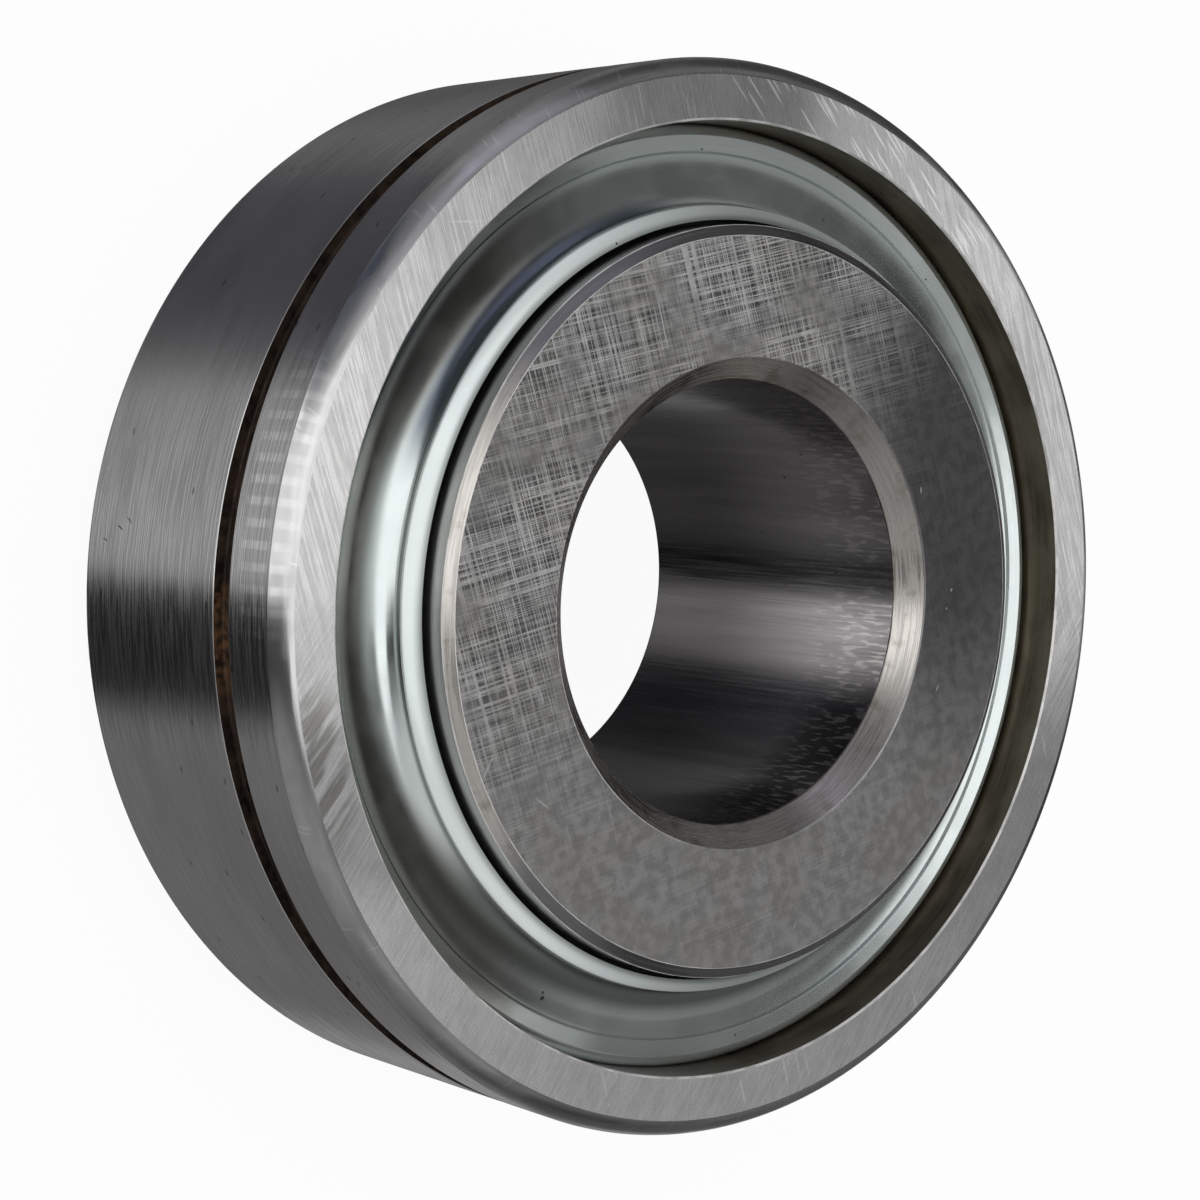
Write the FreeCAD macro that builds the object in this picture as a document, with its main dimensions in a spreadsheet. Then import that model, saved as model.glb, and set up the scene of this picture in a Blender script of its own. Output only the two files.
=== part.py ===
# Disc harrow bearing: a wide single-row ball bearing with a round bore, a triple-lip seal
# under a pressed cover on each side, and a grease channel round the outer ring.
# +Z is the bearing's axis, the seen face is up, and the origin is the centre of the ball row.
import FreeCAD, Part
import Sketcher
import math
import os
import re

os.makedirs("parts", exist_ok=True)
doc = FreeCAD.newDocument("disc_harrow_bearing")

# Driving sizes in millimetres and degrees, each written once
sizes = [
    ("ringDiameter", 100.0, "outside of the outer ring"),
    ("ringWidth", 33.34, "outer ring, face to face"),
    ("ringEdgeRound", 1.65, "round on the outer ring's outside edges"),
    ("recessWall", 5.75, "ring wall outside the seal recess"),
    ("landStep", 1.25, "recess wall down to the shoulder beside the raceway"),
    ("racewayWall", 4.076, "ring wall behind the outer raceway"),
    ("recessEdgeChamfer", 0.3, "chamfer at the mouth of the recess"),
    ("channelWidth", 2.5, "grease channel round the outside"),
    ("channelDepth", 1.1, "depth of the grease channel"),
    ("channelSetback", 8.9, "middle of the channel, behind the front face"),
    ("greaseHoleDiameter", 1.7, "hole from the channel to the ball space"),
    ("greaseHoleAngle", 208.0, "where the hole stands round the ring"),
    ("ballDiameter", 14.288, "nine-sixteenths of an inch"),
    ("ballCount", 10, "balls in the row"),
    ("ballClearance", 0.03, "between a ball and each raceway"),
    ("racewayRatio", 0.52, "raceway section radius over ball diameter"),
    ("innerLandDrop", 4.0, "inner ring's outside, inside the ball centres"),
    ("innerRingWidth", 39.69, "inner ring, face to face"),
    ("innerFrontReach", 2.27, "inner ring's front face, proud of the outer ring's"),
    ("innerChamferRadial", 1.0, "outside chamfer across the face"),
    ("innerChamferAxial", 0.6, "outside chamfer along the axis"),
    ("boreDiameter", 41.275, "round bore for the gang bolt or spool"),
    ("boreChamfer", 2.15, "chamfer at each end of the bore"),
    ("coverSheet", 0.9, "sheet thickness of the pressed cover"),
    ("coverBend", 1.1, "outside bend radius at the cover's rim"),
    ("coverStepInset", 2.55, "recess wall to the step at the flange's inner edge"),
    ("coverStepHeight", 0.3, "height of that step"),
    ("coverStepRun", 0.25, "width of that step"),
    ("coverTroughRise", 2.63, "from the step's foot up to the middle of the lip"),
    ("coverGap", 0.5, "between the cover's lip and the inner ring"),
    ("coverLipRadius", 1.35, "outside radius of the rolled lip"),
    ("rubberWeb", 0.8, "rubber washer between cover and plate"),
    ("rubberBeadWidth", 1.05, "bead of the washer that the flange clamps"),
    ("rubberHub", 1.6, "hub wall where it meets the washer"),
    ("rubberHubTop", 0.35, "hub wall at its outer end"),
    ("rubberHubHeight", 2.4, "hub above the washer"),
    ("sealLipCount", 3, "lips on the inner ring"),
    ("sealLipPitch", 1.15, "step from one lip to the next"),
    ("sealLipReach", 0.8, "lip height over the hub's bore"),
    ("sealLipEdge", 0.2, "width of a lip's edge"),
    ("sealLipRoot", 0.8, "width of a lip's root"),
    ("sealLipClearance", 0.05, "between a lip and the inner ring"),
    ("plateSheet", 0.8, "sheet thickness of the backing plate"),
    ("troughClearance", 0.03, "between the washer and the cover's trough"),
    ("cageSheet", 1.0, "sheet thickness of the cage halves"),
    ("cagePocketClearance", 0.15, "between a ball and its pocket"),
    ("cageWidth", 4.5, "width of the cage ribbon"),
    ("cagePlateGap", 0.9, "between the cage's pockets and the backing plate"),
    ("rivetDiameter", 2.2, "rivets through the cage lands"),
    ("rivetHoleClearance", 0.05, "between a rivet and its hole, all round"),
    ("rivetHeadDiameter", 4.0, "rivet heads"),
    ("rivetHeadHeight", 0.9, "height of a domed head"),
]
aliases = {alias for alias, _, _ in sizes}
sheet = doc.addObject("Spreadsheet::Sheet", "Sizes")
for row, (alias, value, note) in enumerate(sizes, start=1):
    sheet.set("A%d" % row, note)
    sheet.set("B%d" % row, str(value))
    sheet.setAlias("B%d" % row, alias)
doc.recompute()


def bound(text):
    # each size named in an expression becomes a cell of the sheet
    return re.sub(r"[A-Za-z]+", lambda m: "Sizes." + m[0] if m[0] in aliases else m[0], text)


# Places that several pieces share, all worked out from the driving sizes
ball_reach = "(ballDiameter / 2 + ballClearance)"
raceway_radius = "(racewayRatio * ballDiameter)"
pitch_r = f"(ringDiameter / 2 - racewayWall - {ball_reach})"
pocket_dome = "(ballDiameter / 2 + cagePocketClearance + cageSheet)"
face_z = "(ringWidth / 2)"
recess_r = "(ringDiameter / 2 - recessWall)"
rim_r = f"({recess_r} - coverSheet)"
inner_land_r = f"({pitch_r} - innerLandDrop)"
# Each seal is stacked outwards from the ball row: plate on the recess's floor, washer, cover
seat_z = f"({pocket_dome} + cagePlateGap)"
web_back_z = f"({seat_z} + plateSheet)"
web_top_z = f"({web_back_z} + rubberWeb)"
# The trough is one arc that leaves the lip's flank upright and ends on the foot of the step
lip_edge_r = f"({inner_land_r} + coverGap)"
flank_r = f"({lip_edge_r} + coverLipRadius)"
step_top_r = f"({recess_r} - coverStepInset)"
step_foot_r = f"({step_top_r} - coverStepRun)"
trough_span = f"({step_foot_r} - {flank_r})"
trough_radius = f"(({trough_span}^2 + coverTroughRise^2) / (2 * {trough_span}))"
trough_centre_r = f"({flank_r} + {trough_radius})"
trough_back_radius = f"({trough_radius} + coverSheet)"
lip_centre_z = f"({web_top_z} + troughClearance + {trough_back_radius})"
lip_top_z = f"({lip_centre_z} + coverLipRadius)"
step_foot_z = f"({lip_centre_z} - coverTroughRise)"
flange_z = f"({step_foot_z} + coverStepHeight)"
lip_tip_r = f"({inner_land_r} + sealLipClearance)"
hub_bore_r = f"({lip_tip_r} + sealLipReach)"
plate_bore_r = f"({hub_bore_r} + rubberHubTop)"


def new_body(name):
    body = doc.addObject("PartDesign::Body", name)
    body.Label = name
    return body


def plane_of(body, role):
    return next(item for item in body.Origin.OriginFeatures if item.Role == role)


def new_sketch(body, name, role="XZ_Plane"):
    # on the XZ plane a sketch's X is the radius and its Y the height along the axis
    sketch = body.newObject("Sketcher::SketchObject", name)
    sketch.AttachmentSupport = [(plane_of(body, role), "")]
    sketch.MapMode = "FlatFace"
    return sketch


def value_of(owner, text):
    return float(owner.evalExpression(bound(text)))


def bind_constraint(sketch, text, kind, *references):
    constraint = Sketcher.Constraint(kind, *references, value_of(sketch, text))
    index = sketch.addConstraint(constraint)
    sketch.setExpression(f"Constraints[{index}]", bound(text))


def arc_edge(start, end, radius, side):
    chord = end - start
    left = FreeCAD.Vector(-chord.y, chord.x, 0).normalize()
    height = math.sqrt(max(radius**2 - (chord.Length / 2)**2, 0.0))
    centre = (start + end) * 0.5 + left * (side * height)
    circle = Part.Circle(centre, FreeCAD.Vector(0, 0, 1), radius)
    first, last = (start, end) if side > 0 else (end, start)
    return Part.ArcOfCircle(circle, circle.parameter(first), circle.parameter(last))


def draw_section(sketch, corners):
    # A corner is (radius, height), or (radius, height, arc radius, side) where the edge that
    # leads to it is an arc: side is 1 for a centre on the left of the way, -1 on the right.
    points = [FreeCAD.Vector(value_of(sketch, c[0]), value_of(sketch, c[1]), 0) for c in corners]
    count = len(corners)
    ends = []
    for i in range(count):
        target = corners[(i + 1) % count]
        start, end = points[i], points[(i + 1) % count]
        if len(target) == 2:
            sketch.addGeometry(Part.LineSegment(start, end), False)
        else:
            radius = value_of(sketch, target[2])
            sketch.addGeometry(arc_edge(start, end, radius, target[3]), False)
        # arcs are stored anticlockwise, so one that turns right starts at its end point
        ends.append((2, 1) if len(target) == 4 and target[3] < 0 else (1, 2))
    for i in range(count):
        after = (i + 1) % count
        sketch.addConstraint(Sketcher.Constraint("Coincident", i, ends[i][1], after, ends[after][0]))
        bind_constraint(sketch, corners[i][0], "DistanceX", -1, 1, i, ends[i][0])
        bind_constraint(sketch, corners[i][1], "DistanceY", -1, 1, i, ends[i][0])
        if len(corners[after]) == 4:
            bind_constraint(sketch, corners[after][2], "Radius", i)


def turn(body, kind, name, corners):
    # a full turn of a drawn section about the axis: a Revolution adds and a Groove cuts
    sketch = new_sketch(body, name + "_section")
    draw_section(sketch, corners)
    feature = body.newObject("PartDesign::" + kind, name)
    feature.Profile = sketch
    feature.ReferenceAxis = (sketch, ["V_Axis"])
    feature.Angle = 360
    return feature


def cut_ring(body, name, centre_r, radius):
    # a round groove in the ball plane
    sketch = new_sketch(body, name + "_section")
    centre = FreeCAD.Vector(value_of(sketch, centre_r), 0, 0)
    sketch.addGeometry(Part.Circle(centre, FreeCAD.Vector(0, 0, 1), value_of(sketch, radius)), False)
    sketch.addConstraint(Sketcher.Constraint("PointOnObject", 0, 3, -1))
    bind_constraint(sketch, centre_r, "DistanceX", -1, 1, 0, 3)
    bind_constraint(sketch, radius, "Radius", 0)
    feature = body.newObject("PartDesign::Groove", name)
    feature.Profile = sketch
    feature.ReferenceAxis = (sketch, ["V_Axis"])
    feature.Angle = 360
    return feature


def circle_edges(shape, radius, heights):
    # names of the full circles of this radius about the axis at these heights
    names = []
    for number, edge in enumerate(shape.Edges, start=1):
        curve = edge.Curve
        if not isinstance(curve, Part.Circle) or abs(curve.Radius - radius) > 1e-4:
            continue
        if any(abs(curve.Center.z - height) < 1e-4 for height in heights):
            names.append("Edge%d" % number)
    return names


def dress(body, kind, name, base, edges, size_name, text):
    feature = body.newObject("PartDesign::" + kind, name)
    feature.Base = (base, edges)
    feature.setExpression(size_name, bound(text))
    return feature


def around(body, name, feature, count):
    # the same feature again at equal angles about the axis
    pattern = body.newObject("PartDesign::PolarPattern", name)
    pattern.Originals = [feature]
    pattern.Axis = (plane_of(body, "Z_Axis"), [""])
    pattern.Angle = 360
    pattern.setExpression("Occurrences", bound(count))
    body.Tip = pattern
    return pattern


def make_outer_ring():
    body = new_body("outer_ring")
    half_turned = [
        ("ringDiameter / 2", f"-{face_z}"),
        ("ringDiameter / 2", face_z),
        (recess_r, face_z),
        (recess_r, seat_z),
        (f"{recess_r} - landStep", seat_z),
        (f"{recess_r} - landStep", f"-{seat_z}"),
        (recess_r, f"-{seat_z}"),
        (recess_r, f"-{face_z}"),
    ]
    blank = turn(body, "Revolution", "ring_blank", half_turned)
    cut_ring(body, "outer_raceway", f"{pitch_r} + {ball_reach} - {raceway_radius}", raceway_radius)
    channel_top = f"({face_z} - channelSetback + channelWidth / 2)"
    channel_floor = "(ringDiameter / 2 - channelDepth)"
    channel = turn(body, "Groove", "grease_channel", [
        (channel_floor, f"{channel_top} - channelWidth"),
        ("ringDiameter / 2 + channelDepth", f"{channel_top} - channelWidth"),
        ("ringDiameter / 2 + channelDepth", channel_top),
        (channel_floor, channel_top),
    ])
    doc.recompute()
    height = value_of(body, face_z)
    rims = circle_edges(channel.Shape, value_of(body, "ringDiameter / 2"), (height, -height))
    rounded = dress(body, "Fillet", "edge_rounds", channel, rims, "Radius", "ringEdgeRound")
    doc.recompute()
    mouths = circle_edges(rounded.Shape, value_of(body, recess_r), (height, -height))
    dress(body, "Chamfer", "recess_chamfers", rounded, mouths, "Size", "recessEdgeChamfer")
    hole = body.newObject("PartDesign::SubtractiveCylinder", "grease_hole")
    hole.AttachmentSupport = [(plane_of(body, "XZ_Plane"), "")]
    hole.MapMode = "FlatFace"
    hole.setExpression("Radius", bound("greaseHoleDiameter / 2"))
    hole.setExpression("Height", bound("ringDiameter / 2 + channelDepth"))
    hole.setExpression("AttachmentOffset.Base.y", bound(f"{face_z} - channelSetback"))
    # the plane's own normal points to 270 degrees, and the hole turns on from there
    hole.AttachmentOffset.Rotation.Axis = FreeCAD.Vector(0, 1, 0)
    hole.setExpression("AttachmentOffset.Rotation.Axis.x", "0")
    hole.setExpression("AttachmentOffset.Rotation.Axis.y", "1")
    hole.setExpression("AttachmentOffset.Rotation.Axis.z", "0")
    hole.setExpression("AttachmentOffset.Rotation.Angle", bound("greaseHoleAngle - 270"))
    return body


def make_inner_ring():
    body = new_body("inner_ring")
    front = f"({face_z} + innerFrontReach)"
    back = f"({front} - innerRingWidth)"
    bore = "(boreDiameter / 2)"
    turn(body, "Revolution", "ring_blank", [
        (f"{bore} + boreChamfer", back),
        (f"{inner_land_r} - innerChamferRadial", back),
        (inner_land_r, f"{back} + innerChamferAxial"),
        (inner_land_r, f"{front} - innerChamferAxial"),
        (f"{inner_land_r} - innerChamferRadial", front),
        (f"{bore} + boreChamfer", front),
        (bore, f"{front} - boreChamfer"),
        (bore, f"{back} + boreChamfer"),
    ])
    cut_ring(body, "inner_raceway", f"{pitch_r} - {ball_reach} + {raceway_radius}", raceway_radius)
    return body


def facing(body, side):
    # the back seal is the front one turned over
    if side == "back":
        body.Placement = FreeCAD.Placement(
            FreeCAD.Vector(0, 0, 0), FreeCAD.Rotation(FreeCAD.Vector(1, 0, 0), 180))
    return body


def make_cover(side):
    # pressed steel: rim in the recess, flat flange, step, trough and a lip rolled outwards
    body = new_body(f"{side}_seal_cover")
    back_share = f"({trough_back_radius} / {trough_radius})"
    foot_back_r = f"({trough_centre_r} + ({step_foot_r} - {trough_centre_r}) * {back_share})"
    foot_back_z = f"({lip_centre_z} - coverTroughRise * {back_share})"
    flange_back_z = f"({flange_z} - coverSheet)"
    step_back_r = (f"({foot_back_r} + ({flange_back_z} - {foot_back_z})"
                   " * coverStepRun / coverStepHeight)")
    lip_back_z = f"({lip_top_z} - coverSheet)"
    turn(body, "Revolution", "pressed_section", [
        (rim_r, seat_z),
        (recess_r, seat_z),
        (recess_r, f"{flange_z} - coverBend"),
        (f"{recess_r} - coverBend", flange_z, "coverBend", 1),
        (step_top_r, flange_z),
        (step_foot_r, step_foot_z),
        (flank_r, lip_centre_z, trough_radius, -1),
        (lip_edge_r, lip_top_z, "coverLipRadius", 1),
        (lip_edge_r, lip_back_z),
        (f"{flank_r} - coverSheet", lip_centre_z, "coverLipRadius - coverSheet", -1),
        (foot_back_r, foot_back_z, trough_back_radius, 1),
        (step_back_r, flange_back_z),
        (f"{recess_r} - coverBend", flange_back_z),
        (rim_r, f"{flange_z} - coverBend", "coverBend - coverSheet", -1),
    ])
    return facing(body, side)


def make_rubber(side):
    # moulded rubber: clamped bead, washer, hub, and lips that ride on the inner ring
    body = new_body(f"{side}_seal_rubber")
    bead_z = f"({flange_z} - coverBend)"
    hub_top_z = f"({web_top_z} + rubberHubHeight)"
    section = [
        (rim_r, web_back_z),
        (rim_r, bead_z),
        (f"{rim_r} - rubberBeadWidth", bead_z),
        (f"{rim_r} - rubberBeadWidth", web_top_z),
        (f"{hub_bore_r} + rubberHub", web_top_z),
        (f"{hub_bore_r} + rubberHubTop", hub_top_z),
        (hub_bore_r, hub_top_z),
    ]
    for number in range(int(sheet.sealLipCount)):
        root_z = f"({hub_top_z} - {number} * sealLipPitch)"
        section += [
            (hub_bore_r, f"{root_z} - sealLipEdge"),
            (lip_tip_r, f"{root_z} - sealLipEdge"),
            (lip_tip_r, f"{root_z} - 2 * sealLipEdge"),
            (hub_bore_r, f"{root_z} - sealLipRoot"),
        ]
    section += [
        (hub_bore_r, seat_z),
        (plate_bore_r, seat_z),
        (plate_bore_r, web_back_z),
    ]
    turn(body, "Revolution", "moulded_section", section)
    return facing(body, side)


def make_plate(side):
    # flat steel washer that carries the rubber on the floor of the recess
    body = new_body(f"{side}_seal_plate")
    turn(body, "Revolution", "plate_section", [
        (plate_bore_r, seat_z),
        (rim_r, seat_z),
        (rim_r, web_back_z),
        (plate_bore_r, web_back_z),
    ])
    return facing(body, side)


def ball_angle(number):
    # balls stand halfway between the rivets
    return f"(360 * {number + 0.5} / ballCount)"


def make_ball(number):
    ball = doc.addObject("Part::Sphere", f"ball_{number + 1:02d}")
    ball.Label = f"ball_{number + 1:02d}"
    ball.setExpression("Radius", bound("ballDiameter / 2"))
    angle = ball_angle(number)
    ball.setExpression("Placement.Base.x", bound(f"{pitch_r} * cos({angle} * 1 deg)"))
    ball.setExpression("Placement.Base.y", bound(f"{pitch_r} * sin({angle} * 1 deg)"))
    return ball


def add_sphere(body, kind, name, radius):
    # a sphere on the first ball's centre
    sphere = body.newObject("PartDesign::" + kind, name)
    sphere.AttachmentSupport = [(plane_of(body, "XY_Plane"), "")]
    sphere.MapMode = "FlatFace"
    sphere.setExpression("Radius", bound(radius))
    angle = ball_angle(0)
    sphere.setExpression("AttachmentOffset.Base.x", bound(f"{pitch_r} * cos({angle} * 1 deg)"))
    sphere.setExpression("AttachmentOffset.Base.y", bound(f"{pitch_r} * sin({angle} * 1 deg)"))
    return sphere


def make_cage_half(side):
    # pressed ribbon: flat lands at the rivets and a domed pocket over each ball
    body = new_body(f"cage_{side}_half")
    inside, outside = f"{pitch_r} - cageWidth / 2", f"{pitch_r} + cageWidth / 2"
    turn(body, "Revolution", "ribbon_lands", [
        (inside, "0"), (outside, "0"), (outside, "cageSheet"), (inside, "cageSheet")])
    shell = add_sphere(body, "AdditiveSphere", "pocket_shell", pocket_dome)
    around(body, "pocket_shells", shell, "ballCount")
    pocket = add_sphere(body, "SubtractiveSphere", "pocket", f"{pocket_dome} - cageSheet")
    around(body, "pockets", pocket, "ballCount")
    # trimmed to the ribbon's width and to the plane where the halves meet
    far, tall = f"2 * {pitch_r}", "ballDiameter"
    trims = {
        "trim_outside": [(outside, f"-{tall}"), (far, f"-{tall}"), (far, tall), (outside, tall)],
        "trim_inside": [("ballDiameter / 2", f"-{tall}"), (inside, f"-{tall}"),
                        (inside, tall), ("ballDiameter / 2", tall)],
        "trim_joint": [("ballDiameter / 2", f"-{tall}"), (far, f"-{tall}"),
                       (far, "0"), ("ballDiameter / 2", "0")],
    }
    for name, corners in trims.items():
        turn(body, "Groove", name, corners)
    hole = body.newObject("PartDesign::SubtractiveCylinder", "rivet_hole")
    hole.AttachmentSupport = [(plane_of(body, "XY_Plane"), "")]
    hole.MapMode = "FlatFace"
    hole.setExpression("Radius", bound("rivetDiameter / 2 + rivetHoleClearance"))
    hole.setExpression("Height", bound("2 * cageSheet"))
    hole.setExpression("AttachmentOffset.Base.x", bound(pitch_r))
    around(body, "rivet_holes", hole, "ballCount")
    return facing(body, side)


def make_rivets():
    # one rivet through each pair of lands, with a domed head at each end
    body = new_body("cage_rivets")
    sketch = new_sketch(body, "rivet_section")
    shank, head = "rivetDiameter / 2", "rivetHeadDiameter / 2"
    dome = "((rivetHeadDiameter^2 / 4 + rivetHeadHeight^2) / (2 * rivetHeadHeight))"
    top = "(cageSheet + rivetHeadHeight)"
    draw_section(sketch, [
        (pitch_r, f"-{top}"),
        (f"{pitch_r} + {head}", "-cageSheet", dome, 1),
        (f"{pitch_r} + {shank}", "-cageSheet"),
        (f"{pitch_r} + {shank}", "cageSheet"),
        (f"{pitch_r} + {head}", "cageSheet"),
        (pitch_r, top, dome, 1),
    ])
    rivet = body.newObject("PartDesign::Revolution", "rivet")
    rivet.Profile = sketch
    # the closing edge of the section lies on the rivet's own axis
    rivet.ReferenceAxis = (sketch, ["Edge6"])
    rivet.Angle = 360
    around(body, "rivets", rivet, "ballCount")
    return body


pieces = [make_outer_ring(), make_inner_ring()]
pieces += [make_ball(number) for number in range(int(sheet.ballCount))]
for half in ("front", "back"):
    pieces += [make_cage_half(half), make_cover(half), make_rubber(half), make_plate(half)]
pieces.append(make_rivets())
doc.recompute()

for item in doc.Objects:
    if "Invalid" in item.State or "Error" in item.State:
        raise RuntimeError("failed: " + item.Label)
for piece in pieces:
    shape = piece.Shape
    if shape.isNull() or not shape.isValid() or not shape.Solids:
        raise RuntimeError("no good solid: " + piece.Label)
for piece in pieces:
    piece.Shape.exportStep(f"parts/{piece.Label}.step")
    box = piece.Shape.BoundBox
    print(f"{piece.Label}: {len(piece.Shape.Solids)} solid(s), {piece.Shape.Volume:.1f} mm3, "
          f"z {box.ZMin:.2f} to {box.ZMax:.2f}, r {max(box.XMax, box.YMax):.2f}")
for name, text in [("ball centres, radius", pitch_r), ("trough radius", trough_radius),
                   ("recess floor, height", seat_z), ("flange below the face", f"{face_z} - {flange_z}"),
                   ("lip below the face", f"{face_z} - {lip_top_z}")]:
    print(name, round(value_of(doc.outer_ring, text), 3))
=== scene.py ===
# Looks of a disc harrow bearing: ground rings, zinc plated seal covers, and the sealed ball row.
# Metres, +Z along the bearing's axis and out of the seen face. Sections and marks are in millimetres.
import math
import bpy
import numpy as np
from mathutils import Matrix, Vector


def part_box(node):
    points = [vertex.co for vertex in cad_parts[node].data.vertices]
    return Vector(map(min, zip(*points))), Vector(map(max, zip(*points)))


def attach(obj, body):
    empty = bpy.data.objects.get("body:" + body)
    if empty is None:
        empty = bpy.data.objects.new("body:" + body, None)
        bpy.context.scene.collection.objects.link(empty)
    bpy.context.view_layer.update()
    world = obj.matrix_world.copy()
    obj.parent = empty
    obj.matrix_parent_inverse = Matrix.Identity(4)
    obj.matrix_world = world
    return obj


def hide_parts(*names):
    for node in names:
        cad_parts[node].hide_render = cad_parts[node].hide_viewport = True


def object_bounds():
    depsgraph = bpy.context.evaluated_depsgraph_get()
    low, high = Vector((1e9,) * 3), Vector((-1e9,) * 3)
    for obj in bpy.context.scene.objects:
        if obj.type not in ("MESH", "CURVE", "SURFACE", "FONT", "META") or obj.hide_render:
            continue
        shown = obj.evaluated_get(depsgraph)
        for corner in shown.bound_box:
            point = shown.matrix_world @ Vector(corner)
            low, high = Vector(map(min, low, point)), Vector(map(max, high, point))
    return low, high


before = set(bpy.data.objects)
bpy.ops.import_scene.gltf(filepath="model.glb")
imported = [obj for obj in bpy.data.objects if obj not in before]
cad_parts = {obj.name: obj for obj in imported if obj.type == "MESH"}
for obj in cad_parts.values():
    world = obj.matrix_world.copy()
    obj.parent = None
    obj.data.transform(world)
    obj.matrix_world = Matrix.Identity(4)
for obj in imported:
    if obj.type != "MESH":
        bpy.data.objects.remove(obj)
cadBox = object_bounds()
scene = bpy.context.scene
print("frame loaded:", len(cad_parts), "nodes")

mm = 0.001
ringSteps = 720  # columns round each turned piece
ballDiameter = 14.288
grooveRadius = 0.52 * ballDiameter  # of both raceways


# Sections are drawn as (radius, height), anticlockwise round the metal
def straight(start, end, band, steps=1):
    # a line of the section in equal steps; its normal points to the right of the way
    a, b = np.array(start, float), np.array(end, float)
    way = (b - a) / np.linalg.norm(b - a)
    share = np.linspace(0, 1, steps + 1)[:, None]
    normal = np.array([[way[1], -way[0]]])
    return {"points": a + share * (b - a), "normals": np.repeat(normal, steps + 1, 0), "band": band}


def bend(centre, radius, fromDegrees, toDegrees, band, steps=12):
    # an arc of the section: centre plus radius times (cos, sin) of an evenly growing angle;
    # anticlockwise is convex and its normal points out, clockwise is hollow and points in
    angles = np.radians(np.linspace(fromDegrees, toDegrees, steps + 1))
    spokes = np.stack([np.cos(angles), np.sin(angles)], 1)
    side = 1.0 if toDegrees > fromDegrees else -1.0
    return {"points": np.array(centre, float) + radius * spokes, "normals": side * spokes, "band": band}


def corners(places, bands, breaks, steps=3, wearAndGlint=None):
    # a run of lines through places, with each inner corner eased by an arc of its break radius:
    # the arc starts radius * tan(half the turn) before the corner and ends as far after it;
    # the last argument is the band of the arcs, where they have one of their own: the bright edge band,
    # partly wear and partly a painted highlight
    places = [np.array(p, float) for p in places]
    spans, start = [], places[0]
    for i in range(1, len(places) - 1):
        before, after = places[i] - places[i - 1], places[i + 1] - places[i]
        before, after = before / np.linalg.norm(before), after / np.linalg.norm(after)
        turn = math.atan2(before[0] * after[1] - before[1] * after[0], before @ after)
        side = 1.0 if turn > 0 else -1.0
        easing = breaks[i - 1] * math.tan(abs(turn) / 2)
        first = places[i] - before * easing
        centre = first + side * breaks[i - 1] * np.array([-before[1], before[0]])
        spoke = first - centre
        fromDegrees = math.degrees(math.atan2(spoke[1], spoke[0]))
        spans.append(straight(start, first, bands[i - 1]))
        spans.append(bend(centre, breaks[i - 1], fromDegrees, fromDegrees + math.degrees(turn),
                          bands[i - 1] if wearAndGlint is None else wearAndGlint, steps))
        start = places[i] + after * easing
    spans.append(straight(start, places[-1], bands[-1]))
    return spans


def pressed(span, steepest):
    # the same hollow arc shaded as a pressed sheet: a normal that leans n degrees off the axis is drawn
    # at steepest * (n / 80) ** 3 up to 80 degrees, from there evenly up to 88, and at 0.6 n below 0
    lean = np.degrees(np.arctan2(span["normals"][:, 0], span["normals"][:, 1]))
    drawn = np.where(lean < 80, steepest * (np.clip(lean, 0, 80) / 80)**3,
                     steepest + (88 - steepest) * (lean - 80) / 10)
    drawn = np.radians(np.where(lean < 0, 0.6 * lean, drawn))
    return {**span, "normals": np.stack([np.sin(drawn), np.cos(drawn)], 1)}


def rolled(span, steepest):
    # the rolled lip shaded flatter than its arc: steepest * n / 90 for a normal that leans n degrees,
    # and the true normal in the first few degrees beside the hollow
    lean = np.degrees(np.arctan2(span["normals"][:, 0], span["normals"][:, 1]))
    drawn = np.radians(np.where(lean > 80, lean, steepest * lean / 90))
    return {**span, "normals": np.stack([np.sin(drawn), np.cos(drawn)], 1)}


def leaned(spans, band, degrees):
    # flat parts of one band shaded as if they fell away by this angle towards the outside
    turn = math.radians(degrees)
    for span in spans:
        if span["band"] == band:
            r, z = span["normals"][:, 0], span["normals"][:, 1]
            flat = np.abs(z) > 0.99
            side = np.sign(z)
            fallen = np.stack([np.full(len(r), math.sin(turn)), side * math.cos(turn)], 1)
            span["normals"] = np.where(flat[:, None], fallen, span["normals"])
    return spans


def turnedOver(spans):
    # the same section on the other side of the ball row, run the other way round
    flip = np.array([1.0, -1.0])
    return [{"points": (s["points"] * flip)[::-1], "normals": (s["normals"] * flip)[::-1],
             "band": s["band"]} for s in spans[::-1]]


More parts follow.
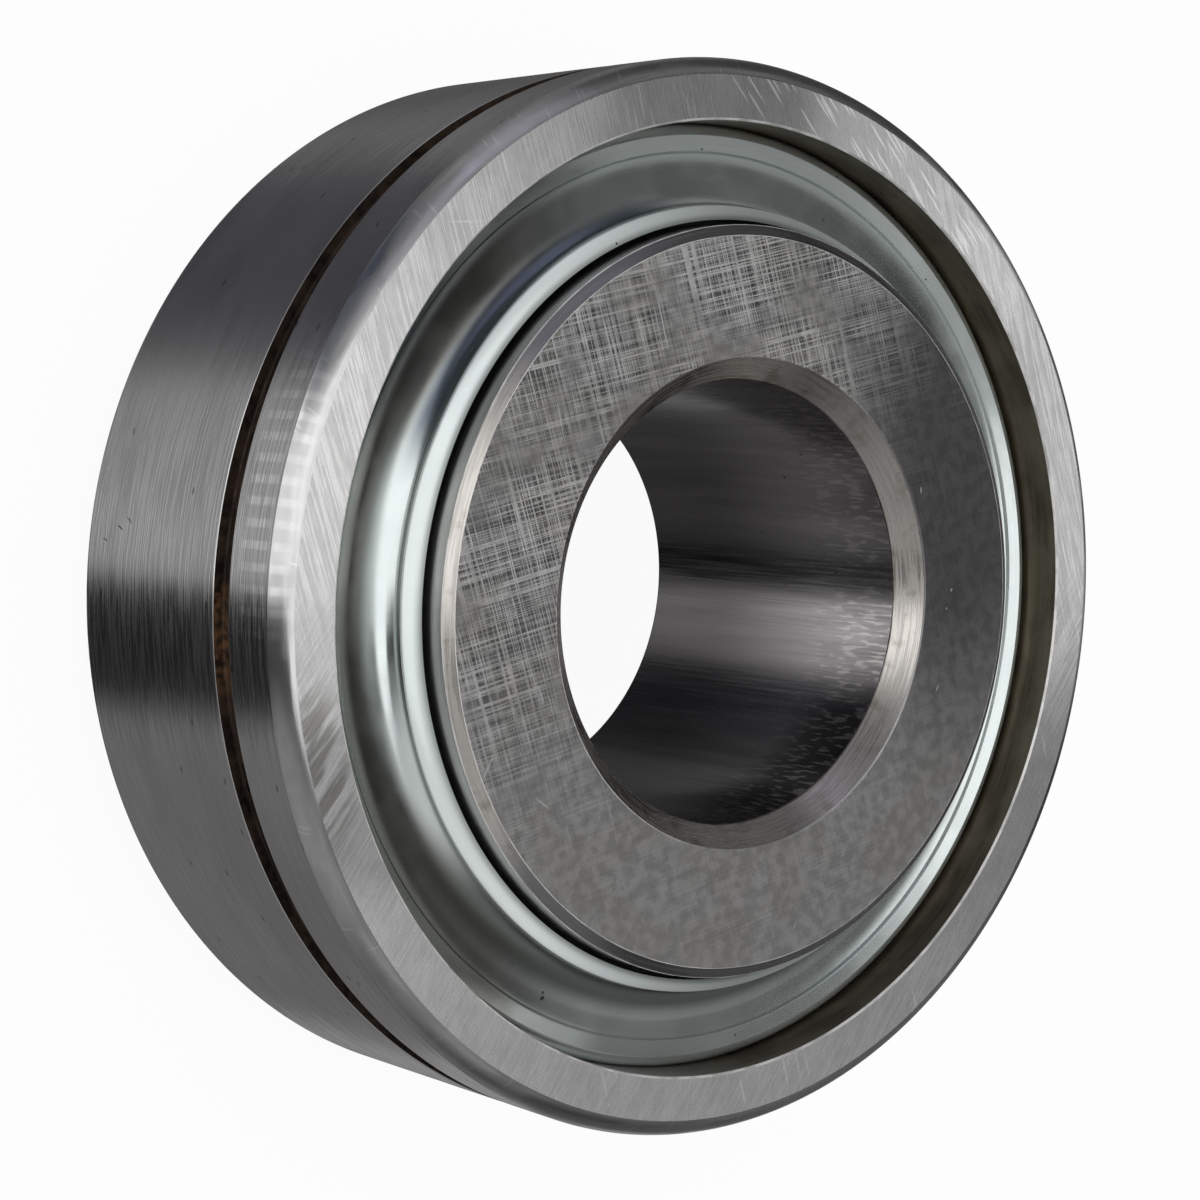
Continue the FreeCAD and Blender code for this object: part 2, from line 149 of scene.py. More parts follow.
def turnedSurface(spans, steps=ringSteps):
    # surface of revolution: point (r cos a, r sin a, z) for each section point (r, z) and each of
    # the evenly spaced angles a; the UV map holds the turn (0 to 1) and the way along the section
    points = np.concatenate([s["points"][:-1] for s in spans]) * mm
    rows = len(points)
    startNormals = np.concatenate([s["normals"][:-1] for s in spans])
    endNormals = np.concatenate([s["normals"][1:] for s in spans])
    band = np.concatenate([np.full(len(s["points"]) - 1, s["band"]) for s in spans])
    angles = np.arange(steps) * 2 * math.pi / steps
    spokes = np.stack([np.cos(angles), np.sin(angles)], 1)
    verts = np.concatenate([points[:, None, :1] * spokes[None],
                            np.repeat(points[:, None, 1:], steps, 1)], 2)
    i, j = np.meshgrid(np.arange(rows), np.arange(steps), indexing="ij")
    i2, j2 = (i + 1) % rows, (j + 1) % steps
    lengths = np.linalg.norm(np.roll(points, -1, 0) - points, axis=1)
    along = np.concatenate([[0.0], np.cumsum(lengths)]) / lengths.sum()
    u = np.stack([j, j + 1, j + 1, j], 2) / steps
    v = np.stack([along[i], along[i], along[i + 1], along[i + 1]], 2)
    section = np.stack([startNormals[i], startNormals[i], endNormals[i], endNormals[i]], 2)
    turn = np.stack([spokes[j], spokes[j2], spokes[j2], spokes[j]], 2)
    return {
        "rows": points, "steps": steps, "verts": verts.reshape(-1, 3),
        "faces": np.stack([i * steps + j, i * steps + j2, i2 * steps + j2, i2 * steps + j], 2).reshape(-1, 4),
        "uvs": np.stack([u, v], 3).reshape(-1, 4, 2), "bands": band[i].ravel(),
        "normals": np.concatenate([section[..., :1] * turn, section[..., 1:]], 3).reshape(-1, 4, 3),
    }


def pieceFrom(name, surface, finishes):
    # a mesh that keeps the surface's UV map and normals, with one finish for each of its bands
    mesh = bpy.data.meshes.new(name)
    mesh.from_pydata(surface["verts"], [], surface["faces"])
    layer = mesh.uv_layers.new(name="turning")
    layer.data.foreach_set("uv", surface["uvs"].astype(np.float32).ravel())
    mesh.polygons.foreach_set("use_smooth", np.ones(len(surface["faces"]), bool))
    mesh.polygons.foreach_set("material_index", surface["bands"].astype(np.int32))
    for finish in finishes:
        mesh.materials.append(finish)
    mesh.update()
    mesh.normals_split_custom_set(surface["normals"].reshape(-1, 3))
    piece = bpy.data.objects.new(name, mesh)
    scene.collection.objects.link(piece)
    return piece


# Shader helpers: each returns the output that carries its result
def plug(tree, socket, value):
    # a socket takes another node's output, or a plain number, colour or place
    if isinstance(value, bpy.types.NodeSocket):
        tree.links.new(value, socket)
    elif socket.type == "RGBA":
        socket.default_value = (*value, 1)
    else:
        socket.default_value = value


def calc(tree, operation, *values):
    made = tree.nodes.new("ShaderNodeMath")
    made.operation = operation
    for socket, value in zip(made.inputs, values):
        plug(tree, socket, value)
    return made.outputs[0]


def times(tree, value, *factors):
    for factor in factors:
        value = calc(tree, "MULTIPLY", value, factor)
    return value


def plus(tree, value, *others):
    for other in others:
        value = calc(tree, "ADD", value, other)
    return value


def without(tree, share):
    # what a share leaves of the whole
    return calc(tree, "SUBTRACT", 1.0, share)


def spread(tree, value, low, high, toLow=0.0, toHigh=1.0):
    # low to high becomes toLow to toHigh, with soft ends
    made = tree.nodes.new("ShaderNodeMapRange")
    made.interpolation_type = "SMOOTHSTEP"
    for socket, number in zip(made.inputs[:5], (value, low, high, toLow, toHigh)):
        plug(tree, socket, number)
    return made.outputs[0]


def window(tree, value, start, full, fade, end):
    # 1 between full and fade, softly down to 0 at start and end
    return times(tree, spread(tree, value, start, full), spread(tree, value, fade, end, 1.0, 0.0))


def blend(tree, factor, first, second):
    made = tree.nodes.new("ShaderNodeMix")
    made.data_type = "RGBA"
    plug(tree, made.inputs[0], factor)
    plug(tree, made.inputs[6], first)
    plug(tree, made.inputs[7], second)
    return made.outputs[2]


def vectorCalc(tree, operation, vector):
    made = tree.nodes.new("ShaderNodeVectorMath")
    made.operation = operation
    plug(tree, made.inputs[0], vector)
    return made


def shaded(tree, colour, factor):
    # a colour made darker or lighter by a factor about 1
    made = vectorCalc(tree, "SCALE", colour)
    plug(tree, made.inputs["Scale"], factor)
    return made.outputs[0]


def objectPlace(tree):
    return tree.nodes.new("ShaderNodeTexCoord").outputs["Object"]


def axes(tree, place):
    made = tree.nodes.new("ShaderNodeSeparateXYZ")
    tree.links.new(place, made.inputs[0])
    return made.outputs


def lengthOf(tree, place):
    return vectorCalc(tree, "LENGTH", place).outputs["Value"]


def joined(tree, x, y, z=0.0):
    made = tree.nodes.new("ShaderNodeCombineXYZ")
    for socket, value in zip(made.inputs, (x, y, z)):
        plug(tree, socket, value)
    return made.outputs[0]


def fitted(tree, place, size, turn=0.0, centre=(0, 0, 0)):
    # place moved to a centre, turned and measured in patches of this size in millimetres
    made = tree.nodes.new("ShaderNodeMapping")
    made.vector_type = "TEXTURE"
    tree.links.new(place, made.inputs["Vector"])
    made.inputs["Location"].default_value = [c * mm for c in centre]
    made.inputs["Rotation"].default_value = (0, 0, math.radians(turn))
    made.inputs["Scale"].default_value = [s * mm for s in size]
    return made.outputs[0]


def grain(tree, place, size, turn=0.0, low=0.35, high=0.65, detail=2.0, shift=0.0):
    # noise whose patches have this size in millimetres, from 0 to 1
    made = tree.nodes.new("ShaderNodeTexNoise")
    tree.links.new(fitted(tree, place, size, turn, (shift, shift, 0)), made.inputs["Vector"])
    made.inputs["Scale"].default_value = 1.0
    made.inputs["Detail"].default_value = detail
    return spread(tree, made.outputs[0], low, high)


def flecks(tree, place, size, turn, length, share, shift=0.0):
    # scattered strokes: a cell of this size keeps one stroke, of this length as a part of the cell,
    # in the share of the cells whose random number is high enough
    made = tree.nodes.new("ShaderNodeTexVoronoi")
    made.voronoi_dimensions = "2D"
    tree.links.new(fitted(tree, place, size, turn, (shift, shift, 0)), made.inputs["Vector"])
    made.inputs["Scale"].default_value = 1.0
    kept = calc(tree, "GREATER_THAN", axes(tree, made.outputs["Color"])[0], 1 - share)
    stroke = spread(tree, made.outputs["Distance"], length * 0.5, length, 1.0, 0.0)
    return times(tree, stroke, kept)


def unrolled(tree, place, radius):
    # a cylinder laid flat: the way round from the left side, and the height along the axis
    x, y, z = axes(tree, place)
    angle = calc(tree, "ARCTAN2", times(tree, y, -1.0), times(tree, x, -1.0))
    return joined(tree, times(tree, angle, radius * mm), z)


def fromLeft(tree, place):
    # the angle about the axis, 0 on the left and growing towards the top
    x, y, z = axes(tree, place)
    return calc(tree, "ARCTAN2", y, times(tree, x, -1.0))


def ringed(tree, place, radius):
    # a face for turning marks: the spoke at a set radius, and the true radius as the third measure
    x, y, z = axes(tree, place)
    flat = joined(tree, x, y)
    spoke = vectorCalc(tree, "NORMALIZE", flat).outputs[0]
    spokeX, spokeY, _ = axes(tree, shaded(tree, spoke, radius * mm))
    return joined(tree, spokeX, spokeY, plus(tree, lengthOf(tree, flat), times(tree, z, 0.7)))


def spot(tree, place, centre, size, turn=0.0, full=0.4, end=1.0):
    # 1 in the middle of an ellipse of this half size in millimetres, and softly down to 0 round its rim
    away = lengthOf(tree, fitted(tree, place, (*size, 1000), turn, (*centre, 0)))
    return spread(tree, away, full, end, 1.0, 0.0)


def marked(tree, colour, place, marks):
    # single nicks and scratches: (x, y, length, width, turn in degrees, grey level)
    for x, y, length, width, turn, grey in marks:
        mark = spot(tree, place, (x, y), (length / 2, width / 2), turn)
        colour = blend(tree, mark, colour, (grey, grey, grey))
    return colour


def newFinish(name, colour, roughness, metallic=1.0, anisotropy=0.0):
    material = bpy.data.materials.new(name)
    material.use_nodes = True
    tree = material.node_tree
    shader = tree.nodes["Principled BSDF"]
    plug(tree, shader.inputs["Base Color"], colour)
    shader.inputs["Roughness"].default_value = roughness
    shader.inputs["Metallic"].default_value = metallic
    shader.inputs["Anisotropic"].default_value = anisotropy
    if anisotropy:
        tangent = tree.nodes.new("ShaderNodeTangent")
        tangent.direction_type = "UV_MAP"
        tangent.uv_map = "turning"
        tree.links.new(tangent.outputs["Tangent"], shader.inputs["Tangent"])
        shader.inputs["Anisotropic Rotation"].default_value = 0.25
    return material, tree


def dressed(material, colour, rough=None, relief=None, metallic=None):
    # the finish's colour; its roughness, as (mask, where the mask is 0, where it is 1); its relief, as
    # (height from 0 to 1, depth in millimetres that it stands for); and how much it mirrors
    tree = material.node_tree
    shader = tree.nodes["Principled BSDF"]
    tree.links.new(colour, shader.inputs["Base Color"])
    if rough:
        mask, first, second = rough
        tree.links.new(spread(tree, mask, 0, 1, first, second), shader.inputs["Roughness"])
    if relief:
        height, depth = relief
        bump = tree.nodes.new("ShaderNodeBump")
        bump.inputs["Distance"].default_value = depth * mm
        tree.links.new(height, bump.inputs["Height"])
        tree.links.new(bump.outputs["Normal"], shader.inputs["Normal"])
    if metallic is not None:
        tree.links.new(metallic, shader.inputs["Metallic"])
    return material


# Both rings
bothRings = {
    "line": (0.96, 0.95, 0.93), "lineDull": (0.62, 0.61, 0.60),
    "raceway": (0.70, 0.70, 0.71), "racewayDark": (0.58, 0.58, 0.60),
}


def edgeGlint():
    # thin bright line where two ground faces meet: a painted highlight along the edge break, with duller
    # patches
    material, tree = newFinish("edgeGlint", bothRings["line"], 0.45, 0.6)
    wearAndGlint = grain(tree, objectPlace(tree), (2.5, 2.5, 2.5), low=0.35, high=0.6, detail=3)
    return dressed(material, blend(tree, wearAndGlint, bothRings["lineDull"], bothRings["line"]))


def honedRaceway():
    material, tree = newFinish("honedRaceway", bothRings["raceway"], 0.12)
    lines = grain(tree, ringed(tree, objectPlace(tree), 40), (8, 8, 0.12), detail=2)
    colour = blend(tree, lines, bothRings["racewayDark"], bothRings["raceway"])
    return dressed(material, colour, (lines, 0.1, 0.18))


# Outer ring
outerRing = {
    "radius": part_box("outer_ring")[1].x / mm, "halfWidth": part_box("outer_ring")[1].z / mm,
    "edgeRound": 1.65, "edgeLean": 14.0,  # the round meets the outside and the face at this angle
    "faceLean": 9.0,  # the ground faces shade as if they fell away outwards by this angle
    "channelWidth": 2.5, "channelDepth": 1.1, "channelSetback": 8.9,
    "recessWall": 5.75, "mouthChamfer": 0.16, "landStep": 1.25,
    "seat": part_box("front_seal_cover")[0].z / mm,
    "racewayWall": 4.076, "edgeBreak": 0.08, "channelSoft": 0.25,
    "holeRadius": 0.85, "holeAngle": 208.0, "holeWindow": 6,  # columns and rows cut open round the hole
    "steel": (0.80, 0.79, 0.79), "steelDark": (0.68, 0.67, 0.68), "pit": (0.25, 0.24, 0.23),
    "roundSteel": (0.84, 0.83, 0.83), "roundDark": (0.72, 0.71, 0.71), "roundWorn": (0.62, 0.62, 0.64),
    "rub": (0.98, 0.98, 0.98), "chatterGlint": (0.97, 0.96, 0.96), "roundGlint": (1.0, 1.0, 0.99),
    "faceSteel": (0.84, 0.835, 0.83), "faceMetallic": 0.88, "hair": (0.98, 0.98, 0.97),
    "slant": (1.0, 1.0, 0.99), "bruise": (0.34, 0.33, 0.32),
    "bruisePlace": (-46.0, -12.5), "bruiseSize": (4.5, 9.0), "bruiseTurn": 12.0,
    "rust": (0.045, 0.030, 0.022), "rustDark": (0.016, 0.012, 0.010), "rustBright": (0.20, 0.10, 0.045),
    "oil": (0.20, 0.165, 0.12), "oilDark": (0.11, 0.09, 0.065), "oilLine": (0.25, 0.21, 0.16),
    "bareSteel": (0.84, 0.84, 0.83),
    "strokeTurns": (17.0, -37.0), "chatterPerTurn": 170, "chatterStrip": (10.4, 14.5),
}


def groundOutside():
    o = outerRing
    material, tree = newFinish("groundOutside", o["steel"], 0.2, anisotropy=0.6)
    place = objectPlace(tree)
    around = unrolled(tree, place, o["radius"])
    lines = grain(tree, place, (7, 7, 0.28), detail=2)
    drift = grain(tree, place, (16, 16, 9))
    colour = blend(tree, lines, o["steelDark"], o["steel"])
    colour = shaded(tree, colour, spread(tree, drift, 0, 1, 0.93, 1.05))
    # painted highlights where the grinding chatter catches the light
    colour = blend(tree, chatterGlints(tree, place, o["chatterStrip"], 0.8), colour, o["chatterGlint"])
    pits = flecks(tree, around, (5, 2.2, 1), 0, 0.09, 0.12)
    colour = blend(tree, times(tree, pits, 0.8), colour, o["pit"])
    colour = marked(tree, colour, around, outsideMarks)
    return dressed(material, colour, (lines, 0.26, 0.16), (lines, 0.006))


def chatterGlints(tree, place, heights, depth):
    # soft light dashes where the grinding wheel's chatter catches the light, painted highlights: a wave round
    # the ring, kept between two heights and plain to see only on the upper left, where the light falls
    left = fromLeft(tree, place)
    wave = calc(tree, "SINE", times(tree, left, outerRing["chatterPerTurn"]))
    plain = window(tree, left, -0.10, 0.05, 0.36, 0.50)
    depth = times(tree, spread(tree, plain, 0, 1, 0.06, 1.0), depth)
    low, high = heights
    soft = 0.5
    inside = window(tree, axes(tree, place)[2], (low - soft) * mm, (low + soft) * mm,
                    (high - soft) * mm, (high + soft) * mm)
    uneven = grain(tree, place, (9, 9, 2.5), low=0.25, high=0.5)
    return times(tree, spread(tree, wave, -0.2, 0.9), depth, inside, uneven)


outsideMarks = [
    (-6.4, -9.9, 1.6, 0.16, 70, 0.05), (-7.1, -8.4, 1.5, 0.14, 62, 0.08), (-5.2, -12.3, 1.2, 0.14, 75, 0.06),
    (-40.2, -19.6, 1.2, 0.1, 35, 0.9), (-22.0, -12.0, 1.1, 0.1, 50, 0.95), (9.0, -2.0, 1.6, 0.1, 95, 0.9),
    (4.0, -1.0, 1.3, 0.09, 100, 0.85), (41.5, 3.5, 0.8, 0.35, 10, 0.04), (-36.0, 12.2, 0.9, 0.2, 30, 0.1),
]


def channelRust():
    o = outerRing
    material, tree = newFinish("channelRust", o["rust"], 0.55, 0.55)
    place = objectPlace(tree)
    patches = grain(tree, place, (3.5, 3.5, 1.2), low=0.42, high=0.6)
    scale = grain(tree, place, (0.8, 0.8, 0.5), detail=4)
    colour = blend(tree, patches, o["rust"], o["rustDark"])
    # brighter on a short stretch at the left
    stretch = window(tree, fromLeft(tree, place), -0.20, -0.06, 0.0, 0.08)
    stained = times(tree, scale, spread(tree, stretch, 0, 1, 0.08, 0.75))
    colour = blend(tree, stained, colour, o["rustBright"])
    return dressed(material, colour, (scale, 0.4, 0.75), (scale, 0.03))


def edgeRoundSteel():
    o = outerRing
    material, tree = newFinish("edgeRoundSteel", o["steel"], 0.24, anisotropy=0.6)
    place = objectPlace(tree)
    around = unrolled(tree, place, o["radius"])
    lines = grain(tree, ringed(tree, place, o["radius"]), (6, 6, 0.25), detail=3)
    wearAndGlint = grain(tree, place, (9, 9, 3), low=0.45, high=0.62)
    colour = blend(tree, lines, o["roundDark"], o["roundSteel"])
    # painted highlights where the grinding chatter catches the light
    dashes = chatterGlints(tree, place, (o["halfWidth"] - o["edgeRound"], o["halfWidth"] - 0.35), 0.9)
    colour = blend(tree, dashes, colour, o["roundGlint"])
    colour = blend(tree, times(tree, wearAndGlint, 0.35), colour, o["roundWorn"])
    rubs = flecks(tree, around, (2.2, 0.5, 1), 64, 0.3, 0.12)
    colour = blend(tree, times(tree, rubs, 0.6), colour, o["rub"])
    # painted shade: the round is darker towards the bottom
    colour = shaded(tree, colour, spread(tree, axes(tree, place)[1], -0.012, -0.002, 0.68, 1.0))
    return dressed(material, colour, (wearAndGlint, 0.2, 0.34), (lines, 0.004))


faceMarks = [
    (-20.0, 44.5, 0.8, 0.5, 20, 0.98), (-18.2, 44.9, 0.6, 0.3, 60, 0.05), (-17.2, 45.2, 0.5, 0.35, 10, 0.95),
    (-1.3, 44.35, 0.5, 0.2, 15, 0.98), (39.3, -20.05, 0.5, 0.3, 60, 0.2), (18.6, -40.2, 0.5, 0.2, 30, 0.98),
    (27.8, -34.2, 0.9, 0.2, 35, 0.95), (-29.0, 36.5, 4.5, 0.2, 88, 0.98), (-23.2, 38.5, 4.2, 0.14, 112, 0.97),
    (-12.6, 45.5, 4.8, 0.13, 106, 0.98), (-14.0, 44.0, 3.5, 0.1, 104, 0.97),
    (-31.5, 33.4, 5.0, 0.22, 4, 0.96),
]


def brushed(tree, turn, strength):
    # the highlight is drawn out along this direction in the face, which lies across the strokes
    shader = tree.nodes["Principled BSDF"]
    across = tree.nodes.new("ShaderNodeVectorTransform")
    across.vector_type, across.convert_from, across.convert_to = "VECTOR", "OBJECT", "WORLD"
    flat = joined(tree, calc(tree, "COSINE", turn), calc(tree, "SINE", turn))
    tree.links.new(flat, across.inputs[0])
    tree.links.new(across.outputs[0], shader.inputs["Tangent"])
    shader.inputs["Anisotropic"].default_value = strength


def groundFace():
    # the strokes run steeply on the upper half and slant on the lower one
    o = outerRing
    material, tree = newFinish("groundFace", o["faceSteel"], 0.33, o["faceMetallic"])
    place = objectPlace(tree)
    x, y, z = axes(tree, place)
    steep = grain(tree, place, (7, 0.22, 5), 109, 0.38, 0.62, 3)
    slanting = grain(tree, place, (6, 0.28, 5), 55, 0.38, 0.62, 3)
    fine = grain(tree, place, (2.5, 0.12, 5), 84, 0.4, 0.6, 3, 40)
    change = (0.006, -0.010)
    below = spread(tree, y, *change)
    upper, lower = (math.radians(turn) for turn in o["strokeTurns"])
    brushed(tree, spread(tree, y, *change, upper, lower), 0.6)
    strokes = plus(tree, times(tree, steep, without(tree, below)), times(tree, slanting, below))
    mottle = grain(tree, place, (2.2, 2.2, 2.2), low=0.3, high=0.7, detail=4)
    broad = grain(tree, place, (14, 14, 14))
    tone = plus(tree, times(tree, strokes, 0.16), times(tree, mottle, 0.10), times(tree, fine, 0.06),
                times(tree, broad, 0.05), 0.80)
    colour = shaded(tree, o["faceSteel"], tone)
    colour = blend(tree, bruises(tree, place), colour, o["bruise"])
    hairs = flecks(tree, place, (9, 0.7, 1), 107, 0.22, 0.12)
    colour = blend(tree, times(tree, hairs, 0.4), colour, o["hair"])
    # light scratches that slant the other way, at the top right
    slants = times(tree, flecks(tree, place, (7, 0.36, 1), 133, 0.32, 0.5, 5),
                   spread(tree, y, 0.026, 0.034), spread(tree, x, -0.008, 0.002))
    colour = blend(tree, times(tree, slants, 0.8), colour, o["slant"])
    # scratches scatter more light than they mirror, and so does a matt patch at the upper right
    scratched = calc(tree, "MAXIMUM", slants, times(tree, hairs, 0.35))
    matt = times(tree, spread(tree, y, 0.022, 0.034), spread(tree, x, 0.004, 0.018))
    lost = plus(tree, times(tree, matt, 0.22), times(tree, scratched, 0.26))
    metallic = calc(tree, "SUBTRACT", o["faceMetallic"], lost)
    # painted shade: darker low on the left and at the very top
    lowLeftShade = times(tree, window(tree, y, -0.026, -0.020, -0.013, -0.007),
                    spread(tree, x, -0.038, -0.030, 1.0, 0.0))
    colour = shaded(tree, colour, spread(tree, lowLeftShade, 0, 1, 1.0, 0.72))
    top = times(tree, window(tree, x, -0.022, -0.010, 0.002, 0.014), spread(tree, y, 0.030, 0.038))
    colour = shaded(tree, colour, spread(tree, top, 0, 1, 1.0, 0.66))
    colour = marked(tree, colour, place, faceMarks)
    return dressed(material, colour, (strokes, 0.33, 0.27), (strokes, 0.004), metallic)


def bruises(tree, place):
    # dark slanting strokes on the lower left of the face, kept inside one soft patch
    o = outerRing
    strokes = grain(tree, place, (4.5, 0.75, 5), 50, 0.38, 0.56, 1, 7)
    inside = spot(tree, place, o["bruisePlace"], o["bruiseSize"], o["bruiseTurn"], 0.4, 1.1)
    return times(tree, strokes, inside, 0.85)


def recessOil():
    o = outerRing
    material, tree = newFinish("recessOil", o["oil"], 0.42)
    place = objectPlace(tree)
    turning = grain(tree, ringed(tree, place, o["radius"]), (12, 12, 0.3), detail=3)
    filmAndShade = grain(tree, place, (6, 6, 3), detail=3)
    colour = blend(tree, filmAndShade, o["oil"], o["oilDark"])
    colour = blend(tree, times(tree, turning, 0.3), colour, o["oilLine"])
    # turned steel on the left, oil film from the middle to the right
    oiled = spread(tree, axes(tree, place)[0], -0.022, 0.006)
    colour = blend(tree, oiled, o["bareSteel"], colour)
    return dressed(material, colour, (oiled, 0.22, 0.42), (turning, 0.008))


def racewayMouth():
    # the land's radius, the raceway's centre, and half the raceway's width where it meets the land
    o = outerRing
    land = o["radius"] - o["recessWall"] - o["landStep"]
    centre = o["radius"] - o["racewayWall"] - grooveRadius
    return land, centre, math.sqrt(grooveRadius**2 - (land - centre)**2)


def outerRingSection():
    o = outerRing
    big, half, seat = o["radius"], o["halfWidth"], o["seat"]
    recess = big - o["recessWall"]
    land, racewayCentre, racewayEdge = racewayMouth()
    channelTop = half - o["channelSetback"] + o["channelWidth"] / 2
    channelLow = channelTop - o["channelWidth"]
    floorRadius, soft = big - o["channelDepth"], o["channelSoft"]
    e, rim, lean = o["edgeBreak"], o["edgeRound"], o["edgeLean"]
    tilt = math.radians(lean)
    rounding = rim / (math.cos(tilt) - math.sin(tilt))
    roundCentre, roundHeight = big - rounding * math.cos(tilt), half - rounding * math.cos(tilt)
    racewayTurn = math.degrees(math.asin(racewayEdge / grooveRadius))
    mouth, cells = o["mouthChamfer"], o["holeWindow"]
    middle = (big - rim - 1.5, -half)  # the section starts and ends here, on the back face
    outside, channel, edges, face, wall, inside, wearAndGlint = range(7)
    spans = [straight(middle, (big - rim, -half), face)]
    spans.append(bend((roundCentre, -roundHeight), rounding, lean - 90, -lean, edges, 14))
    spans += corners([(big, -half + rim), (big, channelLow), (floorRadius, channelLow),
                      (floorRadius, channelLow + 2 * soft)], [outside, channel, channel], [e, soft])
    spans.append(straight((floorRadius, channelLow + 2 * soft), (floorRadius, channelTop - 2 * soft),
                          channel, cells))
    spans += corners([(floorRadius, channelTop - 2 * soft), (floorRadius, channelTop), (big, channelTop),
                      (big, half - rim)], [channel, channel, outside], [soft, e])
    spans.append(bend((roundCentre, roundHeight), rounding, lean, 90 - lean, edges, 14))
    spans += corners([(big - rim, half), (recess + mouth, half), (recess, half - mouth),
                      (recess, half - 3 * mouth)], [face, wearAndGlint, wall], [e, e], 3, wearAndGlint)
    spans += corners([(recess, half - 3 * mouth), (recess, seat), (land, seat), (land, seat - 2 * e)],
                     [wall, wall, inside], [soft, e])
    spans.append(straight((land, seat - 2 * e), (land, racewayEdge), inside, cells))
    spans.append(bend((racewayCentre, 0), grooveRadius, racewayTurn, -racewayTurn, inside, 24))
    spans += corners([(land, -racewayEdge), (land, -seat), (recess, -seat), (recess, -half + 3 * mouth)],
                     [inside, wall, wall], [e, soft])
    spans += corners([(recess, -half + 3 * mouth), (recess, -half + mouth), (recess + mouth, -half), middle],
                     [wall, wearAndGlint, face], [e, e], 3, wearAndGlint)
    return leaned(spans, face, o["faceLean"])


def withHole(surface, angle, height, radius, outerWall, innerWall, across):
    # a round hole from the outer wall to the inner one: in each wall a square of grid cells is taken
    # out and joined to a circle (tangent = radius cos f, height = radius sin f, at evenly growing f,
    # on the wall's own curve), and the two circles are joined along the hole
    rows, steps = surface["rows"], surface["steps"]
    column = int(round(angle / 360 * steps))
    around = np.arange(column - across // 2, column + across // 2 + 1) % steps
    count = 4 * across
    turn = np.arange(count) * 2 * math.pi / count + math.radians(225)
    spoke = np.array([math.cos(math.radians(angle)), math.sin(math.radians(angle)), 0])
    tangent = np.array([-spoke[1], spoke[0], 0])
    sideways, upwards = radius * mm * np.cos(turn), radius * mm * np.sin(turn)
    dropped, loops, circles, circlePoints = [], [], [], []
    size = len(surface["verts"])
    for number, wall in enumerate((outerWall, innerWall)):
        near = np.abs(rows[:, 0] - wall[0] * mm) < 1e-7
        near &= (rows[:, 1] > (wall[1] - 0.001) * mm) & (rows[:, 1] < (wall[2] + 0.001) * mm)
        levels = np.nonzero(near)[0]
        levels = levels[np.argsort(rows[levels, 1])]
        lowest = np.minimum(levels[:-1], levels[1:])
        cells = lowest[:, None] * steps + around[None, :-1]
        dropped.append(cells.ravel())
        grid = levels[:, None] * steps + around[None]
        loops.append(np.concatenate([grid[0, :-1], grid[:-1, -1], grid[-1, :0:-1], grid[:0:-1, 0]]))
        depth = np.sqrt((wall[0] * mm)**2 - sideways**2)
        circlePoints.append(depth[:, None] * spoke + sideways[:, None] * tangent
                            + (upwards[:, None] + height * mm) * np.array([0, 0, 1]))
        circles.append(size + number * count + np.arange(count))
    nextLoop = [np.roll(loop, -1) for loop in loops]
    nextCircle = [np.roll(circle, -1) for circle in circles]
    verts = np.concatenate([surface["verts"]] + circlePoints)
    outerRim = np.stack([loops[0], nextLoop[0], nextCircle[0], circles[0]], 1)
    innerRim = np.stack([loops[1], circles[1], nextCircle[1], nextLoop[1]], 1)
    tube = np.stack([circles[0], nextCircle[0], nextCircle[1], circles[1]], 1)
    spokes = verts[:, :2] / np.linalg.norm(verts[:, :2], axis=1)[:, None]
    radial = np.concatenate([spokes, np.zeros((len(verts), 1))], 1)
    inward = -(np.cos(turn)[:, None] * tangent + np.sin(turn)[:, None] * np.array([0, 0, 1]))
    after = np.roll(inward, -1, 0)
    normals = [radial[outerRim], -radial[innerRim], np.stack([inward, after, after, inward], 1)]
    kept = np.ones(len(surface["faces"]), bool)
    kept[np.concatenate(dropped)] = False
    bands = [surface["bands"][cells[0]] for cells in dropped]
    faces = [outerRim, innerRim, tube]
    flat = np.arctan2(verts[:, 1], verts[:, 0]) / (2 * math.pi) % 1
    uvs = [np.stack([flat[f], verts[f][..., 2]], 2) for f in faces]
    return {
        "rows": rows, "steps": steps, "verts": verts,
        "faces": np.concatenate([surface["faces"][kept]] + faces),
        "uvs": np.concatenate([surface["uvs"][kept]] + uvs),
        "bands": np.concatenate([surface["bands"][kept], np.full(count, bands[0]),
                                 np.full(count, bands[1]), np.full(count, bands[0])]),
        "normals": np.concatenate([surface["normals"][kept]] + normals),
    }


def makeOuterRing():
    o = outerRing
    surface = turnedSurface(outerRingSection())
    channel = o["halfWidth"] - o["channelSetback"]
    reach = o["channelWidth"] / 2 - 2 * o["channelSoft"]
    land, _, racewayEdge = racewayMouth()
    surface = withHole(surface, o["holeAngle"], channel, o["holeRadius"],
                       (o["radius"] - o["channelDepth"], channel - reach, channel + reach),
                       (land, racewayEdge, o["seat"] - 2 * o["edgeBreak"]), o["holeWindow"])
    finishes = [groundOutside(), channelRust(), edgeRoundSteel(), groundFace(), recessOil(), honedRaceway(),
                edgeGlint()]
    piece = pieceFrom("outer_ring_ground", surface, finishes)
    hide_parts("outer_ring")
    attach(piece, "outer_assembly")
    print("outer ring made:", 2 * len(surface["faces"]), "triangles")


makeOuterRing()

